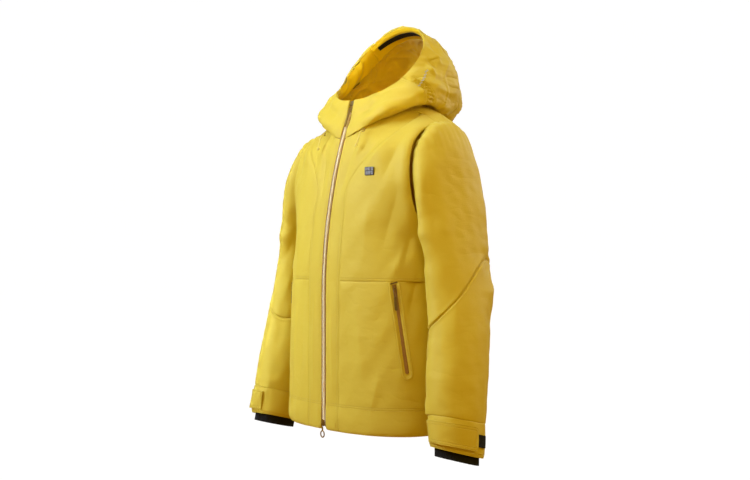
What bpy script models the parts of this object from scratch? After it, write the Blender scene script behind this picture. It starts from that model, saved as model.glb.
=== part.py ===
"""Hooded hardshell ski jacket, zipped up and filled out as if worn, arms hanging.

Metres, +Z up. The front faces -Y and the wearer's left is +X. The origin is in the
middle of the neck seam, where the wearer's shoulders carry the jacket. Each fabric
panel is a patch of a lofted surface, given a thickness along that surface's normal.
"""
import math

import bpy
import numpy as np
from mathutils import Matrix, Vector

# ---- front zip line: straight up from the hem, then one arc over the chest ----
FRONT_Y = -0.160
ARC_START_Z = -0.400
ARC_RADIUS = 1.150
ZIP_BOTTOM_Z = -0.684
ZIP_TOP_Z = 0.036
TEETH_TOP_Z = 0.014

# ---- lofts: one row for each ring of the surface ----
# ring, z front, y back, z back, x side, y side, z side, squareness
TORSO = (
    (0.00, -0.690, 0.100, -0.690, 0.216, -0.030, -0.690, 2.3),
    (0.15, -0.590, 0.104, -0.590, 0.217, -0.029, -0.590, 2.3),
    (0.35, -0.450, 0.106, -0.450, 0.213, -0.027, -0.450, 2.3),
    (0.50, -0.350, 0.110, -0.350, 0.206, -0.020, -0.350, 2.3),
    (0.62, -0.270, 0.118, -0.270, 0.202, -0.010, -0.270, 2.4),
    (0.72, -0.205, 0.138, -0.190, 0.218, 0.002, -0.180, 2.5),
    (0.80, -0.155, 0.146, -0.120, 0.222, 0.010, -0.095, 2.5),
    (0.86, -0.115, 0.142, -0.070, 0.208, 0.012, -0.045, 2.5),
    (0.90, -0.092, 0.133, -0.035, 0.184, 0.012, -0.019, 2.4),
    (0.95, -0.068, 0.108, 0.005, 0.135, 0.004, 0.008, 2.2),
    (1.00, -0.047, 0.078, 0.038, 0.085, -0.010, 0.030, 2.1),
)
# ring, z front, y back, z back, x side, y side, z side, squareness
HOOD = (
    (0.00, -0.047, 0.078, 0.038, 0.085, -0.010, 0.030, 2.1),
    (0.08, -0.037, 0.112, 0.022, 0.120, -0.002, 0.027, 2.2),
    (0.18, -0.022, 0.165, -0.006, 0.145, 0.012, 0.026, 2.3),
    (0.32, -0.006, 0.208, 0.018, 0.154, 0.026, 0.042, 2.3),
    (0.50, 0.008, 0.219, 0.085, 0.152, 0.033, 0.066, 2.2),
    (0.68, 0.020, 0.193, 0.150, 0.143, 0.030, 0.088, 2.2),
    (0.84, 0.030, 0.143, 0.200, 0.130, 0.024, 0.107, 2.2),
    (1.00, 0.040, 0.080, 0.226, 0.115, 0.015, 0.124, 2.2),
)
# ring, inner x, inner z, outer x, outer z, middle y, half depth, front rise, squareness
SLEEVE = (
    (0.00, 0.2028, -0.262, 0.183, -0.018, 0.010, 0.090, 0.000, 2.3),
    (0.06, 0.2060, -0.270, 0.208, -0.024, 0.010, 0.093, 0.000, 2.3),
    (0.12, 0.2080, -0.279, 0.225, -0.047, 0.010, 0.095, 0.000, 2.2),
    (0.18, 0.2095, -0.289, 0.238, -0.085, 0.010, 0.096, 0.000, 2.2),
    (0.26, 0.2105, -0.301, 0.250, -0.150, 0.010, 0.097, 0.002, 2.1),
    (0.36, 0.2115, -0.320, 0.270, -0.245, 0.008, 0.095, 0.004, 2.0),
    (0.50, 0.2150, -0.400, 0.304, -0.380, 0.003, 0.088, 0.008, 2.0),
    (0.70, 0.2290, -0.520, 0.332, -0.505, -0.025, 0.076, 0.013, 2.0),
    (0.88, 0.2480, -0.630, 0.351, -0.625, -0.047, 0.068, 0.016, 2.0),
    (1.00, 0.2620, -0.708, 0.358, -0.712, -0.058, 0.062, 0.017, 2.0),
)
ARMHOLE_TOP = (0.1830, -0.018)       # x, z of the shoulder point
ARMHOLE_BOTTOM = (0.2035, -0.272)    # x, z near the underarm
ARMHOLE_CENTRE_Y = 0.010
ARMHOLE_BLEND = 0.20                 # how far down the sleeve its first ring's shape lasts

# ---- cloth layers, as distances from the visible surface ----
SHELL = (0.0, -0.0040)
HEM_LAYER = (-0.0056, -0.0070)
POCKET_LAYER = (-0.0064, -0.0078)
LINING = (-0.0150, -0.0165)
HOOD_FACING = (-0.0080, -0.0095)
HOOD_LINING = (-0.0125, -0.0140)
BRIM_MESH = (-0.0115, -0.0125)
SEAM_GAP = 0.0020                    # between neighbouring panels
SLANT_SEAM_GAP = 0.0042              # the same, measured along a ring, where a seam slants
ARMHOLE_GAP = 0.0006                 # each side of the armhole's plane

# ---- seams ----
RING_WAIST = 0.480
RING_HEM_STITCH = 0.083
LOWER_RINGS = np.linspace(0.0, RING_WAIST - 0.001, 6)
UPPER_RINGS = np.concatenate(((RING_WAIST + 0.001, 0.540, 0.600), np.linspace(0.620, 0.900, 9), (0.936,)))
NECK_RINGS = (0.945, 0.970, 0.996)
HOOD_RINGS = np.array((0.005, 0.05, 0.10, 0.18, 0.26, 0.36, 0.50, 0.66, 0.83, 0.998))
ZIP_EDGE_X = 0.009
PRINCESS_X = ((0.0, 0.052), (0.70, 0.052), (0.80, 0.052), (0.86, 0.081), (0.90, 0.117), (0.936, 0.145))
ELBOW_SEAM = (0.520, 0.105, math.radians(30))   # mean ring, swing, turn
ELBOW_GAP = 0.0022                   # in rings, each side of the seam
CUFF_RING = 0.905
GAITER_SCALE = 0.80                  # inner cuff's girth against the sleeve's end
CHEEK_SEAM = (math.radians(95), math.radians(66))   # at the neck, at the rim
CROWN_SEAM = math.radians(136)
FACING_RING = 0.84

# ---- front zip ----
TEETH_X = (0.0004, 0.0034)
TEETH_LAYER = (-0.0030, -0.0072)
TAPE_X = (0.0038, 0.0200)
TAPE_LAYER = (-0.0060, -0.0068)
TOP_SLIDER_Z = 0.021
BOTTOM_SLIDER_Z = -0.676

# ---- hand pockets: top and bottom of the coil as (angle, ring) on the torso ----
POCKET_TOP = (math.radians(54.4), 0.472)
POCKET_BOTTOM = (math.radians(64.7), 0.198)
POCKET_SLOT = 0.0110
COIL_WIDTH = 0.0085
COIL_LAYER = (-0.0008, -0.0024)

BODY_YELLOW = "shell_yellow"
finishes = {}


# ---- small helpers ----
def finish(name, colour, roughness, metallic=0.0):
    """Add one plain material to the list of finishes."""
    made = bpy.data.materials.new(name)
    made.use_nodes = True
    shader = made.node_tree.nodes["Principled BSDF"]
    shader.inputs["Base Color"].default_value = (*colour, 1.0)
    shader.inputs["Roughness"].default_value = roughness
    shader.inputs["Metallic"].default_value = metallic
    finishes[name] = made


def keyed(table, place):
    """Smooth curve through the rows of a table, whose first column is the place."""
    rows = np.asarray(table, float)
    place = np.asarray(place, float)
    key, value = rows[:, 0], rows[:, 1:]
    slope = np.diff(value, axis=0) / np.diff(key)[:, None]
    tangent = np.vstack([slope[:1], 0.5 * (slope[1:] + slope[:-1]), slope[-1:]])
    i = np.clip(np.searchsorted(key, place, side="right") - 1, 0, len(key) - 2)
    step = (key[i + 1] - key[i])[..., None]
    t = np.clip((place - key[i])[..., None] / step, 0, 1)
    return (value[i] * (1 + 2 * t) * (1 - t) ** 2 + tangent[i] * step * t * (1 - t) ** 2
            + value[i + 1] * t * t * (3 - 2 * t) + tangent[i + 1] * step * t * t * (t - 1))


def signed_power(value, power):
    return np.sign(value) * np.abs(value) ** power


# ---- surfaces ----
def zip_y(z):
    """Depth of the front zip line at a height."""
    rise = np.clip((np.asarray(z, float) - ARC_START_Z) / ARC_RADIUS, 0, 1)
    return FRONT_Y + ARC_RADIUS * (1 - np.sqrt(1 - rise * rise))


def zip_surface(x, z):
    return np.stack([x, zip_y(z), z + 0 * x], -1)


def body_ring(row, angle):
    """Point of a ring; angle 0 is the front, 90 degrees the wearer's left."""
    z_front, y_back, z_back, x_side, y_side, z_side, square = np.moveaxis(row, -1, 0)
    y_front = zip_y(z_front)
    c = signed_power(np.cos(angle), 2 / square)
    s = signed_power(np.sin(angle), 2 / square)
    y_mid, z_mid = (y_front + y_back) / 2, (z_front + z_back) / 2
    y = y_mid - (y_back - y_front) / 2 * c + (y_side - y_mid) * s * s
    z = z_mid - (z_back - z_front) / 2 * c + (z_side - z_mid) * s * s
    return np.stack([x_side * s, y, z], -1)


def torso(angle, ring):
    return body_ring(keyed(TORSO, ring), angle)


def hood(angle, ring):
    return body_ring(keyed(HOOD, ring), angle)


def plain_sleeve(angle, ring):
    """Left sleeve; angle 0 is its outer side, 90 degrees its front."""
    in_x, in_z, out_x, out_z, y_mid, depth, rise, square = np.moveaxis(keyed(SLEEVE, ring), -1, 0)
    c = signed_power(np.cos(angle), 2 / square)
    s = signed_power(np.sin(angle), 2 / square)
    x = (in_x + out_x) / 2 + (out_x - in_x) / 2 * c
    z = (in_z + out_z) / 2 + (out_z - in_z) / 2 * c + rise * s
    return np.stack([x, y_mid - depth * s, z], -1)


def armhole_distance(points):
    """Distance of points from the left armhole's plane, positive on the sleeve's side."""
    run = np.subtract(ARMHOLE_TOP, ARMHOLE_BOTTOM)
    normal = np.array([run[1], -run[0]]) / np.hypot(*run)
    offset = points[..., [0, 2]] - np.array(ARMHOLE_BOTTOM)
    return offset @ normal, np.array([normal[0], 0.0, normal[1]])


def armhole_angle(ring, back=False):
    """Angle where a torso ring meets the armhole's plane, or 90 degrees if it doesn't."""
    ring = np.asarray(ring, float)
    side = np.full(ring.shape, math.pi / 2)
    near, far = side.copy(), np.full(ring.shape, math.pi * (1.0 if back else 0.0))
    for _ in range(40):
        middle = (near + far) / 2
        beyond = armhole_distance(torso(middle, ring))[0] > 0
        near, far = np.where(beyond, middle, near), np.where(beyond, far, middle)
    crosses = armhole_distance(torso(side, ring))[0] > 0
    return np.where(crosses, far, side)


def armhole_outline():
    """The torso's section at the armhole, as a polar curve about the sleeve's first ring."""
    ring = np.linspace(0.60, 0.91, 240)
    front, back = torso(armhole_angle(ring), ring), torso(armhole_angle(ring, True), ring)
    on_plane = armhole_distance(torso(np.full(ring.shape, math.pi / 2), ring))[0] > 0
    loop = np.vstack([front[on_plane], back[on_plane][::-1]])
    centre = np.array([0, ARMHOLE_CENTRE_Y, (ARMHOLE_TOP[1] + ARMHOLE_BOTTOM[1]) / 2])
    polar = np.arctan2(-(loop[:, 1] - centre[1]), loop[:, 2] - centre[2])
    order = np.argsort(polar)
    return centre, polar[order], loop[order]


ARMHOLE = armhole_outline()


def sleeve(angle, ring):
    """Left sleeve, whose first ring follows the torso's own section at the armhole."""
    centre, polar, loop = ARMHOLE
    first = plain_sleeve(angle, 0 * ring)
    turn = np.arctan2(-(first[..., 1] - centre[1]), first[..., 2] - centre[2])
    seam = np.stack([np.interp(turn, polar, loop[:, k], period=2 * math.pi) for k in range(3)], -1)
    fade = np.clip(1 - ring / ARMHOLE_BLEND, 0, 1)[..., None] ** 2
    return plain_sleeve(angle, ring) + (seam - first) * fade


def gaiter_surface(angle, drop):
    """Inner cuff: the sleeve's end ring, drawn in and run out along the arm."""
    end = sleeve(angle, 1 + 0 * drop)
    everywhere = np.linspace(0, 2 * math.pi, 24, endpoint=False)
    centre = sleeve(everywhere, np.ones(24)).mean(0)
    arm = centre - sleeve(everywhere, np.full(24, 0.94)).mean(0)
    arm /= np.linalg.norm(arm)
    return centre + (end - centre) * GAITER_SCALE + arm * drop[..., None]


# ---- meshes ----
def surface_normal(surface, u, v):
    step = 1e-4
    du = surface(u + step, v) - surface(u - step, v)
    dv = surface(u, v + step) - surface(u, v - step)
    normal = np.cross(du, dv)
    return normal / np.linalg.norm(normal, axis=-1, keepdims=True)


def make_object(name, verts, faces, colour):
    mesh = bpy.data.meshes.new(name)
    mesh.from_pydata([tuple(v) for v in verts], [], faces)
    mesh.validate()
    mesh.shade_smooth()
    mesh.set_sharp_from_angle(angle=math.radians(40))
    mesh.materials.append(finishes[colour])
    made = bpy.data.objects.new(name, mesh)
    bpy.context.scene.collection.objects.link(made)
    return made


def grid_faces(rows, cols, wrap):
    """Quads of a closed slab whose outer grid comes first and inner grid second."""
    inner = rows * cols
    faces = []
    for r in range(rows - 1):
        for c in range(cols if wrap else cols - 1):
            d = (c + 1) % cols
            quad = (r * cols + c, r * cols + d, (r + 1) * cols + d, (r + 1) * cols + c)
            faces.append(quad)
            faces.append(tuple(inner + k for k in reversed(quad)))
    for c in range(cols if wrap else cols - 1):
        d = (c + 1) % cols
        last = (rows - 1) * cols
        faces.append((d, c, inner + c, inner + d))
        faces.append((last + c, last + d, inner + last + d, inner + last + c))
    if not wrap:
        for r in range(rows - 1):
            a, b = r * cols, (r + 1) * cols
            faces.append((a, b, inner + b, inner + a))
            a, b = a + cols - 1, b + cols - 1
            faces.append((b, a, inner + a, inner + b))
    return faces


def slab(name, surface, u, v, layer, colour, mirror=False, wrap=False, armhole=0):
    """Closed solid between two offsets of a surface patch.

    armhole is -1 to keep the solid on the torso's side of the armhole's plane, 1 for the
    sleeve's side.
    """
    points, normal = surface(u, v), surface_normal(surface, u, v)
    verts = np.concatenate([(points + normal * depth).reshape(-1, 3) for depth in layer])
    if armhole:
        distance, across = armhole_distance(verts)
        excess = np.clip(ARMHOLE_GAP - armhole * distance, 0, None)
        verts = verts + armhole * excess[:, None] * across
    faces = grid_faces(*u.shape, wrap)
    if mirror:
        verts = verts * (-1, 1, 1)
        faces = [tuple(reversed(f)) for f in faces]
    return make_object(name, verts, faces, colour)


def patch(surface, low, high, rings, columns, gap=SEAM_GAP):
    """Grid between two angle curves, drawn in by half a seam gap at each side."""
    rings = np.asarray(rings, float)
    low, high = low(rings), high(rings)
    step = 1e-3
    speed_low = np.linalg.norm(surface(low + step, rings) - surface(low, rings), axis=-1) / step
    speed_high = np.linalg.norm(surface(high, rings) - surface(high - step, rings), axis=-1) / step
    low, high = low + gap / 2 / speed_low, high - gap / 2 / speed_high
    t = np.linspace(0, 1, columns + 1)
    u = low[:, None] * (1 - t) + high[:, None] * t
    return u, np.repeat(rings[:, None], columns + 1, 1)


def constant(angle):
    return lambda ring: np.full(np.shape(ring), angle)


def at_x(table, surface_table):
    """Angle at which a ring reaches the x that a table gives for it."""
    def angle(ring):
        row = keyed(surface_table, ring)
        x = keyed(table, ring)[..., 0]
        return np.arcsin(np.clip(x / row[..., 3], 0, 1) ** (row[..., 6] / 2))
    return angle


ZIP_TABLE = ((0.0, ZIP_EDGE_X), (1.0, ZIP_EDGE_X))
zip_edge_torso = at_x(ZIP_TABLE, TORSO)
zip_edge_hood = at_x(ZIP_TABLE, HOOD)
princess = at_x(PRINCESS_X, TORSO)


def tube_grid(low, high, rows, columns):
    """Wrapped grid between two ring curves of the angle."""
    angle = np.linspace(0, 2 * math.pi, columns, endpoint=False)
    t = np.linspace(0, 1, rows + 1)[:, None]
    v = low(angle) * (1 - t) + high(angle) * t
    return np.repeat(angle[None], rows + 1, 0), v


def prism(name, outline, low, high, across, place, colour):
    """Extrude a closed outline along a local axis: 0, 1 or 2 for x, y or z."""
    others = [k for k in range(3) if k != across]
    count = len(outline)
    verts = []
    for height in (low, high):
        for point in outline:
            vertex = [height] * 3
            vertex[others[0]], vertex[others[1]] = point
            verts.append(place @ Vector(vertex))
    area = sum(outline[k - 1][0] * outline[k][1] - outline[k][0] * outline[k - 1][1] for k in range(count))
    ring = list(range(count))
    if (area > 0) == (across == 1):
        ring.reverse()
    faces = [tuple(reversed(ring)), tuple(count + k for k in ring)]
    faces += [(ring[k - 1], ring[k], count + ring[k], count + ring[k - 1]) for k in range(count)]
    return make_object(name, verts, faces, colour)


def box_outline(x0, x1, y0, y1):
    return [(x0, y0), (x1, y0), (x1, y1), (x0, y1)]


def combine(target, cutter, operation):
    """Boolean with a tool that stays in the file as a hidden guide."""
    modifier = target.modifiers.new(operation.lower(), "BOOLEAN")
    modifier.operation = operation
    modifier.object = cutter
    cutter.hide_render = True
    cutter.display_type = "WIRE"


def local_frame(origin, along, outward):
    """Matrix whose Y runs along, Z points outward and X across."""
    y = Vector(along).normalized()
    z = (Vector(outward) - Vector(outward).dot(y) * y).normalized()
    x = y.cross(z)
    return Matrix.Translation(Vector(origin)) @ Matrix((x, y, z)).transposed().to_4x4()


# ---- torso ----
def torso_panels():
    side = constant(math.pi / 2)
    strip_rings = np.concatenate((LOWER_RINGS, UPPER_RINGS[1:]))
    strip_u, strip_v = patch(torso, zip_edge_torso, princess, strip_rings, 6)
    neck_u, neck_v = patch(torso, zip_edge_torso, side, NECK_RINGS, 6)
    centre = np.vstack((strip_u, neck_u)), np.vstack((strip_v, neck_v))
    chest = patch(torso, princess, armhole_angle, UPPER_RINGS, 6, SLANT_SEAM_GAP)
    lower = patch(torso, princess, side, LOWER_RINGS, 7)
    for name, mirror in (("left", False), ("right", True)):
        slab(f"front_centre_{name}", torso, *centre, SHELL, BODY_YELLOW, mirror, armhole=-1)
        slab(f"chest_{name}", torso, *chest, SHELL, BODY_YELLOW, mirror, armhole=-1)
        panel = slab(f"lower_front_{name}", torso, *lower, SHELL, BODY_YELLOW, mirror)
        cut_pocket_slot(panel, mirror)
    back = patch(torso, side, constant(1.5 * math.pi), np.linspace(0.0, 0.61, 7), 16)
    slab("back_body", torso, *back, SHELL, BODY_YELLOW)
    yoke_rings = np.append(UPPER_RINGS[UPPER_RINGS > 0.61], NECK_RINGS)
    yoke = patch(torso, lambda r: armhole_angle(r, True), lambda r: 2 * math.pi - armhole_angle(r, True),
                 yoke_rings, 14)
    back_yoke(yoke)


def back_yoke(grid):
    """Upper back; it keeps clear of both armholes' planes."""
    u, v = grid
    points, normal = torso(u, v), surface_normal(torso, u, v)
    verts = np.concatenate([(points + normal * depth).reshape(-1, 3) for depth in SHELL])
    for sign in (1, -1):
        distance, across = armhole_distance(verts * (sign, 1, 1))
        excess = np.clip(ARMHOLE_GAP + distance, 0, None)
        verts = verts - excess[:, None] * across * (sign, 1, 1)
    make_object("back_yoke", verts, grid_faces(*u.shape, False), BODY_YELLOW)


def linings():
    inner_zip = at_x(((0.0, 0.025), (1.0, 0.025)), TORSO)
    rings = np.concatenate((LOWER_RINGS[1:], UPPER_RINGS[1:], (0.985,)))
    front = patch(torso, inner_zip, armhole_angle, rings, 7)
    back = patch(torso, lambda r: armhole_angle(r, True), lambda r: 2 * math.pi - armhole_angle(r, True),
                 np.append(rings[:-1:2], (0.945, 0.985)), 12)
    for name, mirror in (("left", False), ("right", True)):
        slab(f"front_lining_{name}", torso, *front, LINING, "lining", mirror)
    slab("back_lining", torso, *back, LINING, "lining")
    hem = patch(torso, inner_zip, lambda r: 2 * math.pi - inner_zip(r), [0.004, RING_HEM_STITCH], 26)
    slab("hem_facing", torso, *hem, HEM_LAYER, BODY_YELLOW)


# ---- sleeves ----
def elbow_ring(angle):
    mean, swing, turn = ELBOW_SEAM
    return mean + swing * np.sin(angle - turn)


def sleeve_panels():
    columns = 18
    upper = tube_grid(lambda a: 0 * a + 0.001, lambda a: elbow_ring(a) - ELBOW_GAP, 9, columns)
    lower = tube_grid(lambda a: elbow_ring(a) + ELBOW_GAP, lambda a: 0 * a + CUFF_RING - 0.0008, 5, columns)
    cuff = tube_grid(lambda a: 0 * a + CUFF_RING + 0.0008, lambda a: 0 * a + 1.0, 1, columns)
    gaiter = tube_grid(lambda a: 0 * a - 0.030, lambda a: 0 * a + 0.017, 2, columns)
    tab = tab_grid(math.radians(112), math.radians(-5), 0.920, 0.985, 7)
    strip = tab_grid(math.radians(-8), math.radians(-34), 0.938, 0.972, 2)
    for name, mirror in (("left", False), ("right", True)):
        slab(f"sleeve_upper_{name}", sleeve, *upper, SHELL, BODY_YELLOW, mirror, True, 1)
        slab(f"sleeve_lower_{name}", sleeve, *lower, SHELL, BODY_YELLOW, mirror, True)
        slab(f"cuff_band_{name}", sleeve, *cuff, SHELL, BODY_YELLOW, mirror, True)
        slab(f"cuff_gaiter_{name}", gaiter_surface, *gaiter, (0.0, -0.0025), "gaiter_black", mirror, True)
        slab(f"cuff_tab_{name}", sleeve, *tab, (0.0040, 0.0022), BODY_YELLOW, mirror)
        slab(f"cuff_loop_strip_{name}", sleeve, *strip, (0.0030, 0.0014), "gaiter_black", mirror)


def tab_grid(start, end, low, high, columns):
    """Patch round the cuff from a start angle down to an end angle."""
    angle = np.linspace(min(start, end), max(start, end), columns + 1)
    return np.repeat(angle[None], 2, 0), np.repeat(np.array([[low], [high]]), columns + 1, 1)


# ---- hood ----
def cheek_seam(ring):
    low, high = CHEEK_SEAM
    return low + (high - low) * np.asarray(ring)


def hood_panels():
    cheek = patch(hood, zip_edge_hood, cheek_seam, HOOD_RINGS, 5)
    side = patch(hood, cheek_seam, constant(CROWN_SEAM), HOOD_RINGS, 4)
    crown = patch(hood, constant(CROWN_SEAM), constant(2 * math.pi - CROWN_SEAM), HOOD_RINGS, 6)
    for name, mirror in (("left", False), ("right", True)):
        slab(f"hood_cheek_{name}", hood, *cheek, SHELL, BODY_YELLOW, mirror)
        slab(f"hood_side_{name}", hood, *side, SHELL, BODY_YELLOW, mirror)
    slab("hood_crown", hood, *crown, SHELL, BODY_YELLOW)
    inner_zip = at_x(((0.0, 0.022), (1.0, 0.022)), HOOD)

    def far_zip(ring):
        return 2 * math.pi - inner_zip(ring)
    facing = patch(hood, inner_zip, far_zip, [FACING_RING, 0.92, 0.995], 24)
    slab("hood_facing", hood, *facing, HOOD_FACING, "lining")
    lining = patch(hood, inner_zip, far_zip, HOOD_RINGS[4:-1], 20)
    slab("hood_lining", hood, *lining, HOOD_LINING, "lining")
    mesh = patch(hood, constant(math.radians(144)), constant(math.radians(216)), [0.935, 0.985], 8)
    slab("brim_mesh_strip", hood, *mesh, BRIM_MESH, "gaiter_black")


# ---- zips ----
def zip_heights(low, high):
    """Heights for a strip on the zip line, closer together where the line curves."""
    straight = [z for z in (-0.55, ARC_START_Z) if low < z < high]
    curve = [z for z in np.linspace(ARC_START_Z, ZIP_TOP_Z, 8)[1:] if low < z < high]
    return np.array([low, *straight, *curve, high])


def zip_strip(name, x_range, low, high, layer, colour, mirror=False):
    heights = zip_heights(low, high)
    x = np.repeat(np.array([x_range]), len(heights), 0)
    return slab(name, zip_surface, x, np.repeat(heights[:, None], 2, 1), layer, colour, mirror)


def slider_frame(z):
    """Frame of a slider on the front zip line."""
    angle = math.asin(max(0.0, (z - ARC_START_Z) / ARC_RADIUS))
    origin = (0.0, float(zip_y(z)), z)
    return local_frame(origin, (0, math.sin(angle), math.cos(angle)), (0, -math.cos(angle), math.sin(angle)))


def slider(name, place, half_width, half_length, plate, flange_depth):
    """Cap over the teeth with side flanges and an arched bridge for the pull."""
    low, high = plate
    wall = 0.0012
    cap = [(-half_width, flange_depth), (-half_width + wall, flange_depth), (-half_width + wall, low),
           (half_width - wall, low), (half_width - wall, flange_depth), (half_width, flange_depth),
           (half_width, high), (-half_width, high)]
    body = prism(name, cap, -half_length, half_length, 1, place, "zip_gold")
    foot, top = 0.0036, high + 0.0040
    arch = [(-foot, high - 0.0005), (-foot + 0.0011, high - 0.0005), (-foot + 0.0011, top - 0.0011),
            (foot - 0.0011, top - 0.0011), (foot - 0.0011, high - 0.0005), (foot, high - 0.0005),
            (foot, top), (-foot, top)]
    bridge = prism(f"{name}_bridge", arch, -0.0011, 0.0011, 0, place, "zip_gold")
    combine(body, bridge, "UNION")
    return body


def pull_tab(name, place, height, length, half_width, colour):
    """Flat tab hanging from a slider's bridge, with a window round the bridge's foot."""
    neck, thickness = 0.0022, 0.0012
    outline = [(-half_width, -length + 0.003), (-half_width + 0.002, -length), (half_width - 0.002, -length),
               (half_width, -length + 0.003), (neck + 0.0008, -0.008), (neck + 0.0008, 0.0007),
               (-neck - 0.0008, 0.0007), (-neck - 0.0008, -0.008)]
    low, high = height - thickness / 2, height + thickness / 2
    tab = prism(name, outline, low, high, 2, place, colour)
    window = prism(f"{name}_window", box_outline(-neck + 0.0004, neck - 0.0004, -0.0060, -0.0006),
                   low - 0.002, high + 0.002, 2, place, colour)
    combine(tab, window, "DIFFERENCE")
    return tab


def front_zip():
    for name, mirror in (("left", False), ("right", True)):
        zip_strip(f"main_zip_tape_{name}", TAPE_X, ZIP_BOTTOM_Z, ZIP_TOP_Z, TAPE_LAYER, "zip_tape", mirror)
        zip_strip(f"main_zip_teeth_{name}", TEETH_X, ZIP_BOTTOM_Z, TEETH_TOP_Z, TEETH_LAYER, "zip_gold", mirror)
    zip_strip("zip_garage", (-0.0075, 0.0075), 0.0305, 0.0395, (-0.0004, -0.0020), "lining")
    plate = (-0.0024, -0.0010)
    for name, z, length in (("top", TOP_SLIDER_Z, 0.045), ("bottom", BOTTOM_SLIDER_Z, 0.032)):
        place = slider_frame(z)
        slider(f"main_zip_slider_{name}", place, 0.0058, 0.0070, plate, -0.0050)
        pull_tab(f"main_zip_pull_{name}", place, plate[1] + 0.0016, length, 0.0032, "zip_gold")


# ---- hand pockets ----
def pocket_frame(mirror):
    """Frame at the top of the pocket's coil, with Y up along the coil, and its length."""
    top = torso(*np.array(POCKET_TOP))
    bottom = torso(*np.array(POCKET_BOTTOM))
    middle = (np.array(POCKET_TOP) + np.array(POCKET_BOTTOM)) / 2
    outward = surface_normal(torso, *middle)
    if mirror:
        top, bottom, outward = (value * (-1, 1, 1) for value in (top, bottom, outward))
    return local_frame(top, top - bottom, outward), float(np.linalg.norm(top - bottom))


def cut_pocket_slot(panel, mirror):
    place, length = pocket_frame(mirror)
    half = POCKET_SLOT / 2
    cutter = prism(f"{panel.name}_slot", box_outline(-half, half, -length - 0.003, 0.004),
                   -0.012, 0.012, 2, place, BODY_YELLOW)
    combine(panel, cutter, "DIFFERENCE")


def hand_pockets():
    bag = patch(torso, constant(math.radians(36)), constant(math.radians(78)),
                np.linspace(0.12, 0.47, 4), 5)
    for name, mirror in (("left", False), ("right", True)):
        place, length = pocket_frame(mirror)
        half = COIL_WIDTH / 2
        prism(f"pocket_zip_{name}", box_outline(-half, half, -length, 0.002), COIL_LAYER[1], COIL_LAYER[0],
              2, place, "zip_tape")
        slab(f"pocket_bag_{name}", torso, *bag, POCKET_LAYER, "lining", mirror)
        start = place @ Matrix.Translation((0, -0.007, 0))
        slider(f"pocket_slider_{name}", start, 0.0034, 0.0055, (0.0002, 0.0014), 0.0)
        pull_tab(f"pocket_pull_{name}", start, 0.0030, 0.048, 0.0032, "zip_tape")


# ---- cords and small parts ----
def drawcords():
    """Short hood adjuster tails that hang from eyelets in the collar."""
    for name, sign in (("left", 1), ("right", -1)):
        eyelet = np.array([0.0665, -0.0990, -0.0330])
        route = [(0.0665, -0.1010, -0.0330), (0.0668, -0.1060, -0.0350), (0.0672, -0.1100, -0.0400),
                 (0.0672, -0.1135, -0.0480), (0.0668, -0.1165, -0.0580), (0.0660, -0.1190, -0.0680)]
        curve = bpy.data.curves.new(f"hood_drawcord_{name}", "CURVE")
        curve.dimensions = "3D"
        curve.bevel_depth = 0.00125
        curve.bevel_resolution = 2
        curve.use_fill_caps = True
        points = keyed([(k, *p) for k, p in enumerate(route)], np.linspace(0, len(route) - 1, 9))
        spline = curve.splines.new("POLY")
        spline.points.add(len(points) - 1)
        for point, (x, y, z) in zip(spline.points, points):
            point.co = (sign * x, y, z, 1)
        curve.materials.append(finishes["cord"])
        cord = bpy.data.objects.new(f"hood_drawcord_{name}", curve)
        bpy.context.scene.collection.objects.link(cord)
        out = np.array([0.25, -0.85, 0.30])
        ring_place = local_frame(eyelet * (sign, 1, 1), (0, 0.33, 0.94), out * (sign, 1, 1))
        eyelet_ring(f"hood_eyelet_{name}", ring_place)


def eyelet_ring(name, place):
    """Flat ring; its hole takes the cord."""
    count, outer, inner, thick = 14, 0.0050, 0.0027, 0.0009
    angle = np.linspace(0, 2 * math.pi, count, endpoint=False)
    u = np.repeat(angle[None], 2, 0)
    v = np.repeat(np.array([[inner], [outer]]), count, 1)

    def disc(a, radius):
        flat = np.stack([radius * np.cos(a), radius * np.sin(a), 0 * a], -1)
        turn, shift = np.array(place.to_3x3()), np.array(place.translation)
        return flat @ turn.T + shift
    slab(name, disc, u, v, (thick / 2, -thick / 2), "zip_gold", wrap=True)


def hanger_loop():
    """Strip that droops between two points of the back neck seam."""
    u = np.repeat(np.linspace(0, math.pi, 9)[None], 2, 0)
    v = np.repeat(np.array([[0.046], [0.054]]), 9, 1)

    def strip(a, y):
        return np.stack([0.028 * np.cos(a), y + 0 * a, 0.018 - 0.020 * np.sin(a)], -1)
    slab("hanger_loop", strip, u, v, (0.0014, 0.0), "lining")


def hem_locks():
    """Sprung cord locks inside the hem at both side seams."""
    count = 12
    angles = [2 * math.pi * k / count for k in range(count)]
    for name, sign in (("left", 1), ("right", -1)):
        place = Matrix.Translation((sign * 0.194, -0.030, -0.6680))
        barrel = prism(f"hem_cord_lock_{name}", [(0.0065 * math.cos(a), 0.0065 * math.sin(a)) for a in angles],
                       0.0, 0.0170, 2, place, "matte_black")
        bore = prism(f"hem_cord_lock_{name}_bore", [(0.0047 * math.cos(a), 0.0047 * math.sin(a)) for a in angles],
                     -0.004, 0.0125, 2, place, "matte_black")
        combine(barrel, bore, "DIFFERENCE")
        prism(f"hem_lock_button_{name}", [(0.0042 * math.cos(a), 0.0042 * math.sin(a)) for a in angles],
              -0.0040, 0.0080, 2, place, "matte_black")


def chest_badge():
    """Plain raised patch on the left chest."""
    centre = np.array([math.radians(25.0), 0.824])
    place = local_frame(torso(*centre), (0, 0, 1), surface_normal(torso, *centre))
    width, height, corner = 0.012, 0.009, 0.002
    outline = [(-width + corner, -height), (width - corner, -height), (width, -height + corner),
               (width, height - corner), (width - corner, height), (-width + corner, height),
               (-width, height - corner), (-width, -height + corner)]
    prism("chest_badge", outline, 0.0024, 0.0042, 2, place, "badge_grey")


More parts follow.
